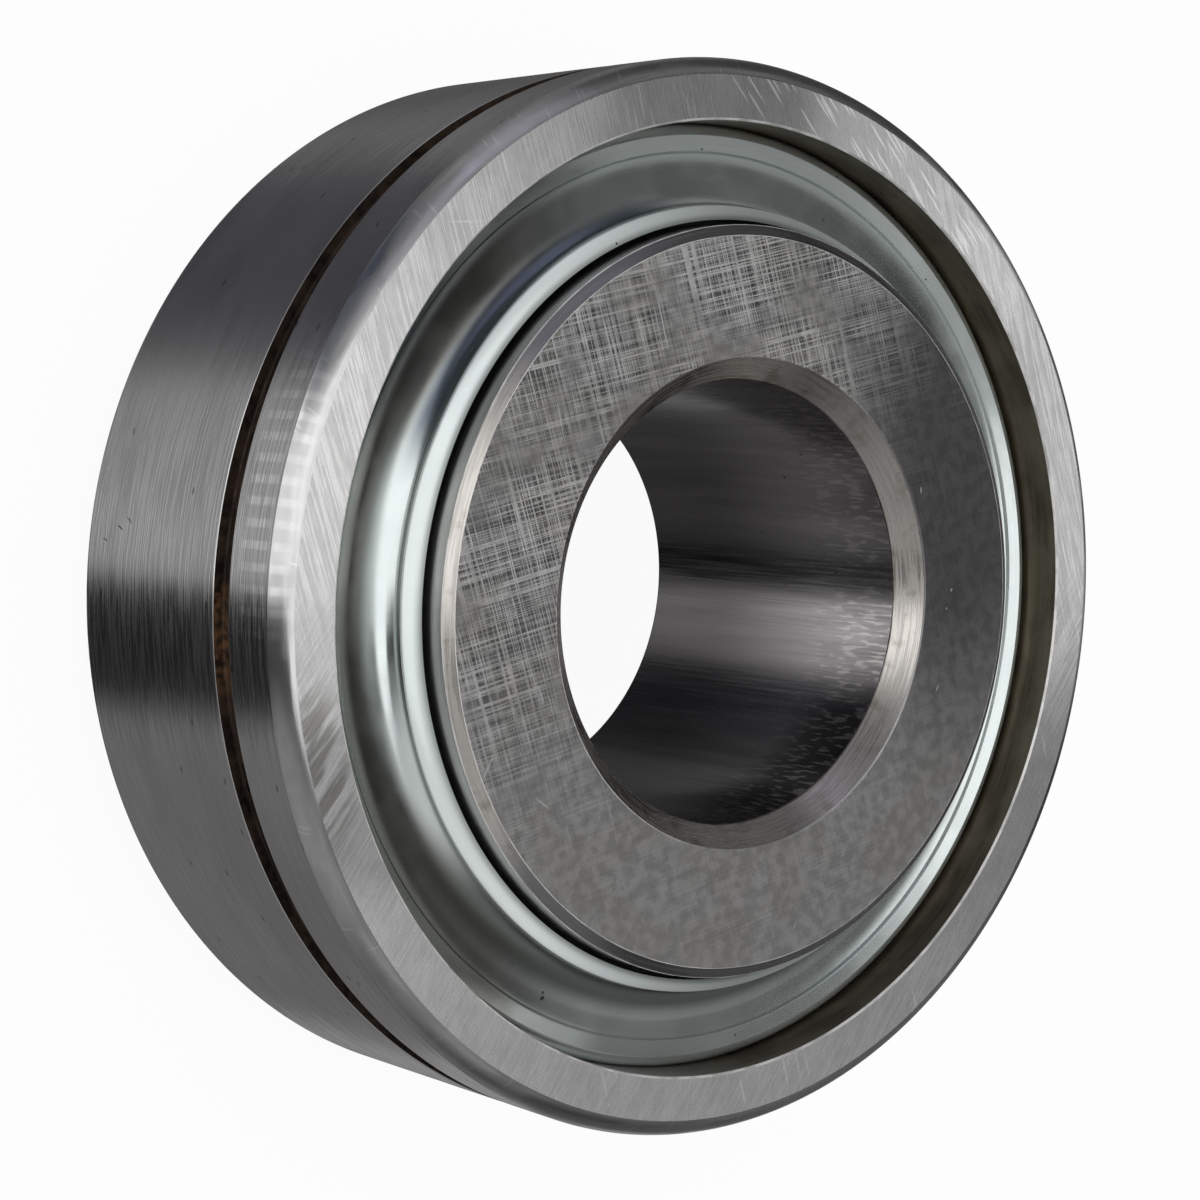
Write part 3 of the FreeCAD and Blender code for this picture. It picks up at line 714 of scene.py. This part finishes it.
# Inner ring
innerRing = {
    "front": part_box("inner_ring")[1].z / mm, "back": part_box("inner_ring")[0].z / mm,
    "outside": 34.75, "bore": 20.6375, "boreChamfer": 2.15, "chamferRadial": 1.0, "chamferAxial": 0.6,
    "racewayFloor": 31.576, "edgeBreak": 0.12, "boreBreak": 0.35,
    "faceSteel": (0.65, 0.64, 0.635), "faceDark": (0.17, 0.165, 0.17), "faceBright": (0.95, 0.94, 0.93),
    "faceMetallic": 0.88, "lineMetallic": 0.70, "faceWarm": (0.48, 0.46, 0.38),
    "faceShade": (0.12, 0.115, 0.125), "shadePlace": (28.0, 13.0), "shadeSize": (20.0, 34.0),
    "hatchTurns": (13.0, 109.0), "cream": (0.86, 0.82, 0.77), "creamLine": (0.66, 0.63, 0.60),
    "creamStain": (0.30, 0.25, 0.19), "creamDark": (0.30, 0.28, 0.27), "plainSteel": (0.34, 0.33, 0.34),
    "boreSteel": (0.46, 0.44, 0.45), "boreShade": (0.17, 0.16, 0.165), "boreDash": (0.80, 0.77, 0.74),
    "boreSpeck": (0.12, 0.11, 0.11), "outsideSteel": (0.62, 0.61, 0.60), "outsideLine": (0.74, 0.73, 0.72),
}


hatchMarks = [
    (-30.0, -13.2, 3.0, 0.28, 62, 0.98), (-24.0, -16.7, 2.6, 0.24, -35, 0.98),
    (-22.8, 16.9, 3.6, 0.2, 106, 0.98), (-19.5, -9.0, 1.6, 0.2, 60, 0.95), (-24.3, -7.3, 2.2, 0.35, 110, 0.9),
    (-15.8, -15.8, 2.4, 0.16, -70, 0.95), (21.8, 10.4, 0.9, 0.2, 95, 0.95), (26.4, 0.6, 0.5, 0.3, 60, 0.95),
    (25.8, -1.2, 0.35, 0.25, 60, 0.9), (24.8, -9.0, 0.9, 0.2, 60, 0.9), (6.5, -30.6, 1.1, 0.3, 60, 0.8),
    (-11.5, 25.8, 8.0, 0.2, 106, 0.95),
]


def hatchedFace():
    # two sets of dark lines and two of light ones cross, plainest at the upper left
    o = innerRing
    material, tree = newFinish("hatchedFace", o["faceSteel"], 0.33, o["faceMetallic"])
    place = objectPlace(tree)
    first, second = o["hatchTurns"]
    rows = [grain(tree, place, (24, 0.24, 5), first, 0.44, 0.58, 1),
            grain(tree, place, (16, 0.15, 5), first, 0.44, 0.60, 1, 31),
            grain(tree, place, (22, 0.22, 5), second, 0.44, 0.58, 1),
            grain(tree, place, (14, 0.14, 5), second, 0.44, 0.60, 1, 17)]
    strong = grain(tree, place, (9, 9, 9), low=0.3, high=0.55, shift=12)
    x, y, z = axes(tree, place)
    upper = spread(tree, calc(tree, "SUBTRACT", y, times(tree, x, 0.6)), -0.012, 0.022, 0.12, 1.0)
    depth = times(tree, strong, upper)
    crossed = plus(tree, times(tree, rows[0], 0.65), times(tree, rows[2], 0.55))
    dark = times(tree, spread(tree, crossed, 0.2, 1.0), depth, 0.9)
    colour = blend(tree, dark, o["faceSteel"], o["faceDark"])
    light = calc(tree, "MAXIMUM", spread(tree, rows[1], 0.7, 1.0), spread(tree, rows[3], 0.7, 1.0))
    light = times(tree, light, plus(tree, times(tree, depth, 0.72), 0.04))
    colour = blend(tree, light, colour, o["faceBright"])
    metallic = spread(tree, light, 0, 1, o["faceMetallic"], o["lineMetallic"])
    mottle = grain(tree, place, (1.2, 1.2, 1.2), low=0.3, high=0.7, detail=4)
    colour = shaded(tree, colour, spread(tree, mottle, 0, 1, 0.90, 1.06))
    warm = grain(tree, place, (10, 10, 10), low=0.4, high=0.6, shift=50)
    colour = blend(tree, times(tree, warm, 0.14), colour, o["faceWarm"])
    # painted shade darkens the right of the face
    stainAndShade = times(tree, spot(tree, place, o["shadePlace"], o["shadeSize"], 0, 0.3, 1.15), 0.84)
    colour = blend(tree, stainAndShade, colour, o["faceShade"])
    colour = marked(tree, colour, place, hatchMarks)
    return dressed(material, colour, (mottle, 0.28, 0.34), (plus(tree, rows[1], rows[3]), 0.003), metallic)


def creamChamfer():
    o = innerRing
    material, tree = newFinish("creamChamfer", o["cream"], 0.3)
    place = objectPlace(tree)
    turning = grain(tree, ringed(tree, place, o["outside"]), (9, 9, 0.18), detail=3)
    stainAndShade = grain(tree, place, (2.4, 2.4, 2.4), low=0.52, high=0.72, detail=4)
    colour = blend(tree, times(tree, turning, 0.5), o["cream"], o["creamLine"])
    colour = blend(tree, times(tree, stainAndShade, 0.55), colour, o["creamStain"])
    x, y, z = axes(tree, place)
    offMiddle = calc(tree, "ABSOLUTE", y)
    outer = spread(tree, lengthOf(tree, joined(tree, x, y)), 0.030, 0.032)
    # the outer chamfer is plain dark steel away from the left
    plain = spread(tree, plus(tree, x, times(tree, offMiddle, 0.5)), -0.022, -0.012)
    colour = blend(tree, times(tree, plain, outer), colour, o["plainSteel"])
    # and the bore's chamfer is darker above and below its right end
    ends = times(tree, spread(tree, offMiddle, 0.004, 0.010), spread(tree, x, 0.0, 0.008),
                 without(tree, outer), 0.5)
    colour = blend(tree, ends, colour, o["creamDark"])
    return dressed(material, colour, (turning, 0.24, 0.4), (turning, 0.006))


def boreSteel():
    # lines and low ripples run along the axis, with painted shade darker towards the far end
    o = innerRing
    material, tree = newFinish("boreSteel", o["boreSteel"], 0.22)
    place = objectPlace(tree)
    x, y, z = axes(tree, place)
    around = unrolled(tree, place, o["bore"])
    ripples = grain(tree, around, (1.9, 26, 1), low=0.3, high=0.7, detail=1)
    lines = grain(tree, around, (0.22, 12, 1), low=0.25, high=0.75, detail=2, shift=9)
    colour = blend(tree, spread(tree, z, -0.010, 0.013), o["boreShade"], o["boreSteel"])
    colour = shaded(tree, colour, plus(tree, times(tree, ripples, 0.24), times(tree, lines, 0.06), 0.82))
    # painted shade, darker lower down
    colour = shaded(tree, colour, spread(tree, y, -0.016, -0.002, 0.75, 0.9))
    # painted shade, darkest low down beside the front end
    low = times(tree, spread(tree, y, -0.013, -0.008, 1.0, 0.0), spread(tree, z, 0.004, 0.014))
    colour = shaded(tree, colour, spread(tree, low, 0, 1, 1.0, 0.35))
    # short light dashes there too
    dashes = grain(tree, around, (0.42, 2.4, 1), low=0.52, high=0.62, detail=1, shift=3)
    dashes = times(tree, dashes, spread(tree, z, 0.003, 0.016, 0.0, 0.55))
    colour = blend(tree, dashes, colour, o["boreDash"])
    colour = blend(tree, flecks(tree, around, (4, 4, 1), 20, 0.05, 0.12), colour, o["boreSpeck"])
    return dressed(material, colour, (lines, 0.18, 0.28), (ripples, 0.004))


def innerOutside():
    o = innerRing
    material, tree = newFinish("innerOutside", o["outsideSteel"], 0.25, anisotropy=0.6)
    place = objectPlace(tree)
    lines = grain(tree, place, (5, 5, 0.3), detail=3)
    colour = blend(tree, lines, o["outsideSteel"], o["outsideLine"])
    # painted shade, darker towards the top
    colour = shaded(tree, colour, spread(tree, axes(tree, place)[1], 0.006, 0.020, 1.0, 0.6))
    return dressed(material, colour, relief=(lines, 0.004))


def makeInnerRing():
    o = innerRing
    front, back, outside, bore = o["front"], o["back"], o["outside"], o["bore"]
    chamfer, radial, axial = o["boreChamfer"], o["chamferRadial"], o["chamferAxial"]
    centre = o["racewayFloor"] + grooveRadius
    edge = math.sqrt(grooveRadius**2 - (centre - outside)**2)
    turn = math.degrees(math.asin(edge / grooveRadius))
    e, b = o["edgeBreak"], o["boreBreak"]
    middle = ((outside + bore) / 2, back)
    face, cone, wall, land, inside, wearAndGlint = range(6)
    spans = corners([middle, (outside - radial, back), (outside, back + axial), (outside, -edge)],
                    [face, cone, land], [e, e], 3, wearAndGlint)
    spans.append(bend((centre, 0), grooveRadius, 180 + turn, 180 - turn, inside, 32))
    top = ((outside + bore) / 2, front)
    spans += corners([(outside, edge), (outside, front - axial), (outside - radial, front), top],
                     [land, cone, face], [e, e], 3, wearAndGlint)
    spans += corners([top, (bore + chamfer, front), (bore, front - chamfer), (bore, back + chamfer),
                      (bore + chamfer, back), middle], [face, cone, wall, cone, face], [b, b, b, b], 5)
    surface = turnedSurface(spans)
    finishes = [hatchedFace(), creamChamfer(), boreSteel(), innerOutside(), honedRaceway(), edgeGlint()]
    piece = pieceFrom("inner_ring_ground", surface, finishes)
    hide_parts("inner_ring")
    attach(piece, "inner_race")
    print("inner ring made:", 2 * len(surface["faces"]), "triangles")


makeInnerRing()

# Seal covers
sealCover = {
    "sheet": 0.9, "bend": 1.1, "stepInset": 2.55, "stepHeight": 0.3, "stepRun": 0.25, "stepBreak": 0.2,
    "troughRise": 2.63, "gap": 0.5, "lipRadius": 1.35,
    "steepest": 62.0, "lipSteepest": 30.0, "flangeLean": -22.0,  # how the pressed sheet shades, in degrees
    "recess": outerRing["radius"] - outerRing["recessWall"], "innerOutside": innerRing["outside"],
    "seat": outerRing["seat"], "top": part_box("front_seal_cover")[1].z / mm,
    "zinc": (0.90, 0.97, 0.955), "zincDull": (0.74, 0.82, 0.81), "dust": (0.95, 1.0, 0.98),
    "grit": (0.03, 0.03, 0.03), "troughShade": (0.26, 0.255, 0.235), "darkBlueReflection": (0.11, 0.14, 0.19),
    "lowShade": (0.13, 0.14, 0.13), "lipMetallic": 0.32, "lipRightShade": 0.36,
}


def coverSection():
    o = sealCover
    sheet, rim, seat = o["sheet"], o["recess"], o["seat"]
    lipEdge = o["innerOutside"] + o["gap"]
    flank = lipEdge + o["lipRadius"]
    lipCentre = o["top"] - o["lipRadius"]
    stepTop = rim - o["stepInset"]
    foot = stepTop - o["stepRun"]
    footHeight = lipCentre - o["troughRise"]
    flange = footHeight + o["stepHeight"]
    span = foot - flank
    trough = (span**2 + o["troughRise"]**2) / (2 * span)
    troughCentre = (flank + trough, lipCentre)
    footAngle = 180 + math.degrees(math.atan2(o["troughRise"], trough - span))
    back = trough + sheet
    footBack = (troughCentre[0] + back * math.cos(math.radians(footAngle)),
                lipCentre + back * math.sin(math.radians(footAngle)))
    flangeBack = flange - sheet
    stepBack = footBack[0] + (flangeBack - footBack[1]) * o["stepRun"] / o["stepHeight"]
    outer, inner = o["bend"], o["bend"] - sheet
    elbow = (rim - outer, flange - outer)
    spans = [straight((rim - sheet, seat), (rim, seat), 0), straight((rim, seat), (rim, flange - outer), 0),
             bend(elbow, outer, 0, 90, 0)]
    spans += leaned(corners([(rim - outer, flange), (stepTop, flange), (foot, footHeight)], [0, 0],
                            [o["stepBreak"]]), 0, o["flangeLean"])
    spans.append(pressed(bend(troughCentre, trough, footAngle, 180, 0, 48), o["steepest"]))
    spans.append(rolled(bend((lipEdge, lipCentre), o["lipRadius"], 0, 90, 1, 20), o["lipSteepest"]))
    spans.append(straight((lipEdge, o["top"]), (lipEdge, o["top"] - sheet), 0))
    spans.append(bend((lipEdge, lipCentre), o["lipRadius"] - sheet, 90, 0, 0, 8))
    spans.append(bend(troughCentre, back, 180, footAngle, 0, 20))
    spans += corners([footBack, (stepBack, flangeBack), (rim - outer, flangeBack)], [0, 0], [o["stepBreak"]])
    spans.append(bend(elbow, inner, 90, 0, 0))
    spans.append(straight((rim - sheet, flange - outer), (rim - sheet, seat), 0))
    return spans


zincMarks = [
    (-33.6, -25.1, 0.5, 0.35, 40, 0.02), (-18.0, -35.9, 0.7, 0.4, 20, 0.02),
    (-17.9, -35.4, 0.4, 0.3, 70, 0.02), (-24.0, 29.6, 5.0, 0.10, 37, 0.9), (-28.6, 25.6, 3.6, 0.09, 41, 0.85),
    (-19.6, 33.2, 3.0, 0.08, 30, 0.85), (-9.5, 37.4, 2.4, 0.08, 12, 0.8), (-33.8, -21.0, 3.5, 0.08, 123, 0.7),
    (-29.2, -29.8, 1.6, 0.09, 134, 0.8),
]


def zincFinish(name, metallic, rightShade):
    # the last argument is how bright the right side is, as a share of the left: painted shade on the right
    o = sealCover
    material, tree = newFinish(name, o["zinc"], 0.22, metallic)
    place = objectPlace(tree)
    x, y, z = axes(tree, place)
    radius = lengthOf(tree, joined(tree, x, y))
    drawn = grain(tree, ringed(tree, place, 40), (14, 14, 0.28), detail=3)
    cloudy = grain(tree, place, (4.5, 4.5, 4.5), low=0.2, high=0.8, detail=3)
    peel = grain(tree, place, (1.3, 1.3, 1.3), low=0.2, high=0.8, detail=1)
    colour = blend(tree, times(tree, drawn, 0.25), o["zinc"], o["zincDull"])
    colour = blend(tree, times(tree, cloudy, 0.2), colour, o["zincDull"])
    colour = blend(tree, flecks(tree, place, (2.8, 2.8, 1), 30, 0.04, 0.2), colour, o["dust"])
    colour = blend(tree, flecks(tree, place, (4.5, 4.5, 1), 70, 0.03, 0.15, 20), colour, o["grit"])
    colour = marked(tree, colour, place, zincMarks)
    colour = shaded(tree, colour, spread(tree, x, -0.026, 0.004, 1.0, rightShade))
    # painted shade in the outer half of the trough on the left, where the recess wall shades it
    wider = spread(tree, calc(tree, "ABSOLUTE", y), 0.010, 0.024, 0.0, 0.0012)
    filmAndShade = times(tree, spread(tree, plus(tree, radius, wider), 0.0374, 0.0390),
                 spread(tree, x, -0.026, -0.012, 1.0, 0.0), 0.92)
    colour = blend(tree, filmAndShade, colour, o["troughShade"])
    # beside the lip the flank has a painted blue black reflection at the upper left, and painted shade at the
    # bottom
    flank = o["innerOutside"] + o["gap"] + o["lipRadius"]
    foot = ((flank - 0.1) * mm, (flank + 0.1) * mm)
    upperLeftReflection = times(tree, window(tree, radius, *foot, 0.0370, 0.0379), spread(tree, y, 0.010, 0.018),
                      spread(tree, x, -0.012, -0.002, 1.0, 0.0), 0.9)
    colour = blend(tree, upperLeftReflection, colour, o["darkBlueReflection"])
    bottomShade = times(tree, window(tree, radius, *foot, 0.0380, 0.0396),
                   spread(tree, y, -0.026, -0.018, 1.0, 0.0), 0.85)
    colour = blend(tree, bottomShade, colour, o["lowShade"])
    # the lip's inner edge is darker
    colour = shaded(tree, colour, spread(tree, radius, 0.0353, 0.0359, 0.55, 1.0))
    # a thin matt film at the bottom, the right and the top, and a painted highlight on the flank at the lower
    # left, where the plate mirrors much less and shows its light colour
    matt = calc(tree, "MAXIMUM", spread(tree, y, -0.030, -0.015, 1.0, 0.0), spread(tree, x, 0.026, 0.036))
    matt = calc(tree, "MAXIMUM", matt, spread(tree, y, 0.020, 0.034, 0.0, 0.5))
    whiteHighlight = times(tree, window(tree, radius, *foot, 0.0374, 0.0383),
                  window(tree, y, -0.031, -0.022, -0.012, -0.005),
                  spread(tree, x, -0.018, -0.008, 1.0, 0.0), 0.42)
    kept = calc(tree, "SUBTRACT", spread(tree, matt, 0, 1, metallic, metallic * 0.87), whiteHighlight)
    relief = plus(tree, peel, times(tree, drawn, 0.15))
    return dressed(material, colour, (cloudy, 0.16, 0.24), (relief, 0.0015), kept)


def makeSealCovers():
    o = sealCover
    finishes = [zincFinish("zincPlate", 1.0, 1.0), zincFinish("zincLip", o["lipMetallic"], o["lipRightShade"])]
    for side, spans in (("front", coverSection()), ("back", turnedOver(coverSection()))):
        surface = turnedSurface(spans)
        cover = pieceFrom(f"{side}_seal_cover_zinc", surface, finishes)
        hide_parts(f"{side}_seal_cover")
        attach(cover, "outer_assembly")
    print("seal covers made:", 2 * len(surface["faces"]), "triangles each")


makeSealCovers()

# Balls, cage and seals keep their modelled forms, and get their finishes here
hiddenLooks = {
    "ball": (0.72, 0.72, 0.73), "ballScuff": (0.58, 0.58, 0.60),
    "cage": (0.50, 0.48, 0.45), "cageDark": (0.30, 0.28, 0.26),
    "plate": (0.52, 0.54, 0.55), "plateDark": (0.36, 0.37, 0.38),
    "rubber": (0.018, 0.018, 0.020), "rubberBloom": (0.05, 0.05, 0.052),
}


def polishedBalls():
    material, tree = newFinish("polishedBalls", hiddenLooks["ball"], 0.06)
    place = objectPlace(tree)
    scuffs = grain(tree, place, (2.5, 2.5, 2.5), low=0.45, high=0.7, detail=4)
    colour = blend(tree, scuffs, hiddenLooks["ball"], hiddenLooks["ballScuff"])
    return dressed(material, colour, (scuffs, 0.05, 0.12))


def pressedSteel(name, light, dark, patch):
    material, tree = newFinish(name, light, 0.38)
    place = objectPlace(tree)
    rolled = grain(tree, place, (patch, patch * 0.1, patch), 20, detail=3)
    oily = grain(tree, place, (patch, patch, patch), low=0.4, high=0.65, detail=4)
    colour = blend(tree, times(tree, rolled, 0.5), light, dark)
    colour = blend(tree, times(tree, oily, 0.5), colour, dark)
    return dressed(material, colour, (oily, 0.42, 0.26), (rolled, 0.004))


def sealRubber():
    material, tree = newFinish("sealRubber", hiddenLooks["rubber"], 0.5, 0.0)
    place = objectPlace(tree)
    bloom = grain(tree, place, (4, 4, 4), low=0.4, high=0.75, detail=4)
    skin = grain(tree, place, (0.25, 0.25, 0.25), low=0.3, high=0.7)
    colour = blend(tree, times(tree, bloom, 0.4), hiddenLooks["rubber"], hiddenLooks["rubberBloom"])
    return dressed(material, colour, (bloom, 0.42, 0.62), (skin, 0.01))


def finishHiddenPieces():
    h = hiddenLooks
    rules = {"ball": polishedBalls(), "cage": pressedSteel("pressedCage", h["cage"], h["cageDark"], 2.2),
             "rubber": sealRubber(), "plate": pressedSteel("stampedPlate", h["plate"], h["plateDark"], 4.0)}
    replaced = ("outer_ring", "inner_ring", "front_seal_cover", "back_seal_cover")
    for name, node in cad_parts.items():
        if name in replaced:
            continue
        finish = next(look for word, look in rules.items() if word in name)
        node.data.materials.clear()
        node.data.materials.append(finish)


finishHiddenPieces()
print("hidden pieces finished")

# Floor, studio and camera
studio = {
    "floorReach": 3.0, "floorGap": 0.00001, "floorPaint": (0.86, 0.86, 0.86), "floorWhite": 0.94,
    "evenLight": (0.8, 0.8, 0.8), "lampPower": 2.4, "lampSize": 0.6, "lampPlace": (-0.45, 0.55, 0.75),
    # what metal mirrors on the left, on the right and behind: (rise in degrees, grey)
    "left": ((-90, 0.10), (-60, 0.24), (-50, 0.34), (-42, 0.38), (-27, 0.34), (-19, 0.18), (-15, 0.06),
             (-12, 0.035), (-8, 0.05), (20, 0.08), (34, 0.17), (50, 0.13), (66, 0.14), (78, 0.2), (90, 0.36)),
    "right": ((-90, 0.08), (-54, 0.06), (-42, 0.16), (-25, 0.21), (-16, 0.18), (-10, 0.05), (1, 0.03),
              (18, 0.03), (28, 0.10), (38, 0.15), (60, 0.10), (75, 0.10), (90, 0.36)),
    "behind": ((-90, 0.10), (-50, 0.12), (-25, 0.16), (-14, 0.05), (10, 0.05), (60, 0.05), (75, 0.08),
               (90, 0.36)),
    # cards and a strip: (azimuths, whether it lies beyond them, rises, colour)
    "cards": (((-26, 0, 24, 30), False, (26, 38, 78, 88), (0.38, 0.38, 0.44)),
              ((56, 61, 76, 84), False, (-10, -4, 14, 21), (0.95, 0.95, 0.96)),
              ((-142, -135, 150, 162), True, (-18, -14, -4, 0), (0.012, 0.012, 0.012)),
              ((-142, -135, 150, 162), True, (-70, -50, -22, -17), (0.145, 0.142, 0.142)),
              ((-142, -134, -66, -50), False, (26, 32, 60, 70), (0.05, 0.06, 0.08)),
              ((-142, -135, 160, 175), True, (22, 28, 38, 50), (0.055, 0.055, 0.062))),
    # the white panel's level and its top in degrees, by azimuth, and its low edge far, middle and near
    "panel": ((-180, 0.06), (-172, 0.06), (-160, 0.14), (-150, 0.15), (-146, 0.22), (-140, 0.72),
              (-134, 1.0), (21, 1.0), (29, 0.0), (100, 0.0), (140, 0.10), (180, 0.10)),
    "panelTop": ((-180, 22), (-150, 22), (-138, 31), (-40, 28), (-10, 24), (22, 16), (180, 6)),
    "panelLow": (-1.2, -3.5, -16.0), "panelSoft": 1.2,
}


def makeFloor():
    s = studio
    reach = s["floorReach"]
    mesh = bpy.data.meshes.new("floor")
    mesh.from_pydata([(-reach, -reach, 0), (reach, -reach, 0), (reach, reach, 0), (-reach, reach, 0)], [],
                     [(0, 1, 2, 3)])
    mesh.transform(Matrix.Translation((0, 0, cadBox[0].z - s["floorGap"])))
    floor = bpy.data.objects.new("floor", mesh)
    scene.collection.objects.link(floor)
    floor.visible_glossy = False  # the steel mirrors the studio's panel and cards instead
    paint = bpy.data.materials.new("floorPaint")
    paint.use_nodes = True
    tree = paint.node_tree
    shader = tree.nodes["Principled BSDF"]
    plug(tree, shader.inputs["Base Color"], s["floorPaint"])
    shader.inputs["Roughness"].default_value = 0.9
    glow = tree.nodes.new("ShaderNodeEmission")
    path = tree.nodes.new("ShaderNodeLightPath")
    mix = tree.nodes.new("ShaderNodeMixShader")
    tree.links.new(times(tree, path.outputs["Is Camera Ray"], s["floorWhite"]), mix.inputs["Fac"])
    tree.links.new(shader.outputs["BSDF"], mix.inputs[1])
    tree.links.new(glow.outputs["Emission"], mix.inputs[2])
    tree.links.new(mix.outputs["Shader"], tree.nodes["Material Output"].inputs["Surface"])
    mesh.materials.append(paint)


def ramp(tree, angle, whole, stops):
    # a grey for each angle: stops are (degrees, grey), over a whole of 180 or 360 degrees about 0
    made = tree.nodes.new("ShaderNodeValToRGB")
    points = made.color_ramp.elements
    while len(points) < len(stops):
        points.new(0.5)
    for point, (degrees, grey) in zip(points, stops):
        point.position = degrees / whole + 0.5
        point.color = (grey, grey, grey, 1)
    tree.links.new(plus(tree, calc(tree, "DIVIDE", angle, whole), 0.5), made.inputs[0])
    return made.outputs[0]


def makeStudio():
    # seen in the metal: a white panel low on the left and behind, dark cards at the right and above,
    # grey below; rise is the elevation towards +Y, and azimuth is 0 out of the face, minus to the left
    s = studio
    world = bpy.data.worlds.new("studio")
    scene.world = world
    world.use_nodes = True
    tree = world.node_tree
    x, y, z = axes(tree, tree.nodes.new("ShaderNodeTexCoord").outputs["Generated"])
    rise = times(tree, calc(tree, "ARCSINE", y), 180 / math.pi)
    azimuth = times(tree, calc(tree, "ARCTAN2", x, z), 180 / math.pi)
    seen = blend(tree, window(tree, azimuth, 22, 34, 62, 74), ramp(tree, rise, 180, s["left"]),
                 ramp(tree, rise, 180, s["right"]))
    seen = blend(tree, window(tree, azimuth, 62, 74, 118, 135), seen, ramp(tree, rise, 180, s["behind"]))
    for azimuths, outside, rises, colour in s["cards"]:
        across = window(tree, azimuth, *azimuths)
        if outside:
            across = without(tree, across)
        seen = blend(tree, times(tree, across, window(tree, rise, *rises)), seen, colour)
    panelTop = times(tree, ramp(tree, azimuth, 360, [(a, top / 100) for a, top in s["panelTop"]]), 100.0)
    far, middle, near = s["panelLow"]
    panelLow = plus(tree, spread(tree, azimuth, -52, -36, far, middle),
                    times(tree, window(tree, azimuth, -28, -12, 9, 18), near - middle))
    above = spread(tree, calc(tree, "SUBTRACT", rise, panelLow), -s["panelSoft"], s["panelSoft"])
    under = spread(tree, calc(tree, "SUBTRACT", rise, panelTop), -2.0, 4.0, 1.0, 0.0)
    panel = times(tree, ramp(tree, azimuth, 360, s["panel"]), above, under)
    seen = blend(tree, panel, seen, (1.0, 1.0, 1.0))
    path = tree.nodes.new("ShaderNodeLightPath")
    final = blend(tree, path.outputs["Is Diffuse Ray"], seen, s["evenLight"])
    final = blend(tree, path.outputs["Is Camera Ray"], final, (1.0, 1.0, 1.0))
    tree.links.new(final, tree.nodes["Background"].inputs["Color"])
    world.cycles.sampling_method = "NONE"  # so that each kind of ray sees the level meant for it


def standing(side, up, back, place):
    # the matrix of an object whose own axes point these three ways, at this place
    matrix = np.eye(4)
    matrix[:3] = np.stack([side, up, back, place], 1)
    return Matrix(matrix.tolist())


def makeLamp():
    s = studio
    lamp = bpy.data.lights.new("softLamp", "AREA")
    lamp.shape = "SQUARE"
    lamp.size = s["lampSize"]
    lamp.energy = s["lampPower"]
    holder = bpy.data.objects.new("softLamp", lamp)
    place = np.array(s["lampPlace"])
    back = place / np.linalg.norm(place)
    side = np.cross((0, 1, 0), back)
    side /= np.linalg.norm(side)
    holder.matrix_world = standing(side, np.cross(back, side), back, place)
    holder.visible_glossy = False
    scene.collection.objects.link(holder)


cameraPlace = {"azimuth": -39.16, "elevation": 4.034, "roll": 1.117, "distance": 0.262945,
               "slideRight": 0.012495, "slideUp": -0.000235, "lens": 85.043, "sensor": 36}


def placeCamera():
    # the camera looks at the middle of the front face from its azimuth and elevation, slid and rolled
    c = cameraPlace
    azimuth, elevation, roll = (math.radians(c[k]) for k in ("azimuth", "elevation", "roll"))
    back = np.array([math.sin(azimuth) * math.cos(elevation), math.sin(elevation),
                     math.cos(azimuth) * math.cos(elevation)])
    right = np.cross((0, 1, 0), back)
    right /= np.linalg.norm(right)
    up = np.cross(back, right)
    rightTurned = right * math.cos(roll) + up * math.sin(roll)
    upTurned = up * math.cos(roll) - right * math.sin(roll)
    place = (c["distance"] * back - c["slideRight"] * rightTurned - c["slideUp"] * upTurned
             + np.array([0, 0, outerRing["halfWidth"] * mm]))
    camera = bpy.data.objects.new("camera", bpy.data.cameras.new("camera"))
    camera.data.sensor_width = c["sensor"]
    camera.data.lens = c["lens"]
    camera.data.clip_start, camera.data.clip_end = 0.01, 20
    camera.matrix_world = standing(rightTurned, upTurned, back, place)
    scene.collection.objects.link(camera)
    scene.camera = camera


makeFloor()
makeStudio()
makeLamp()
placeCamera()
scene.view_settings.view_transform = "Standard"
print("floor, studio and camera made")
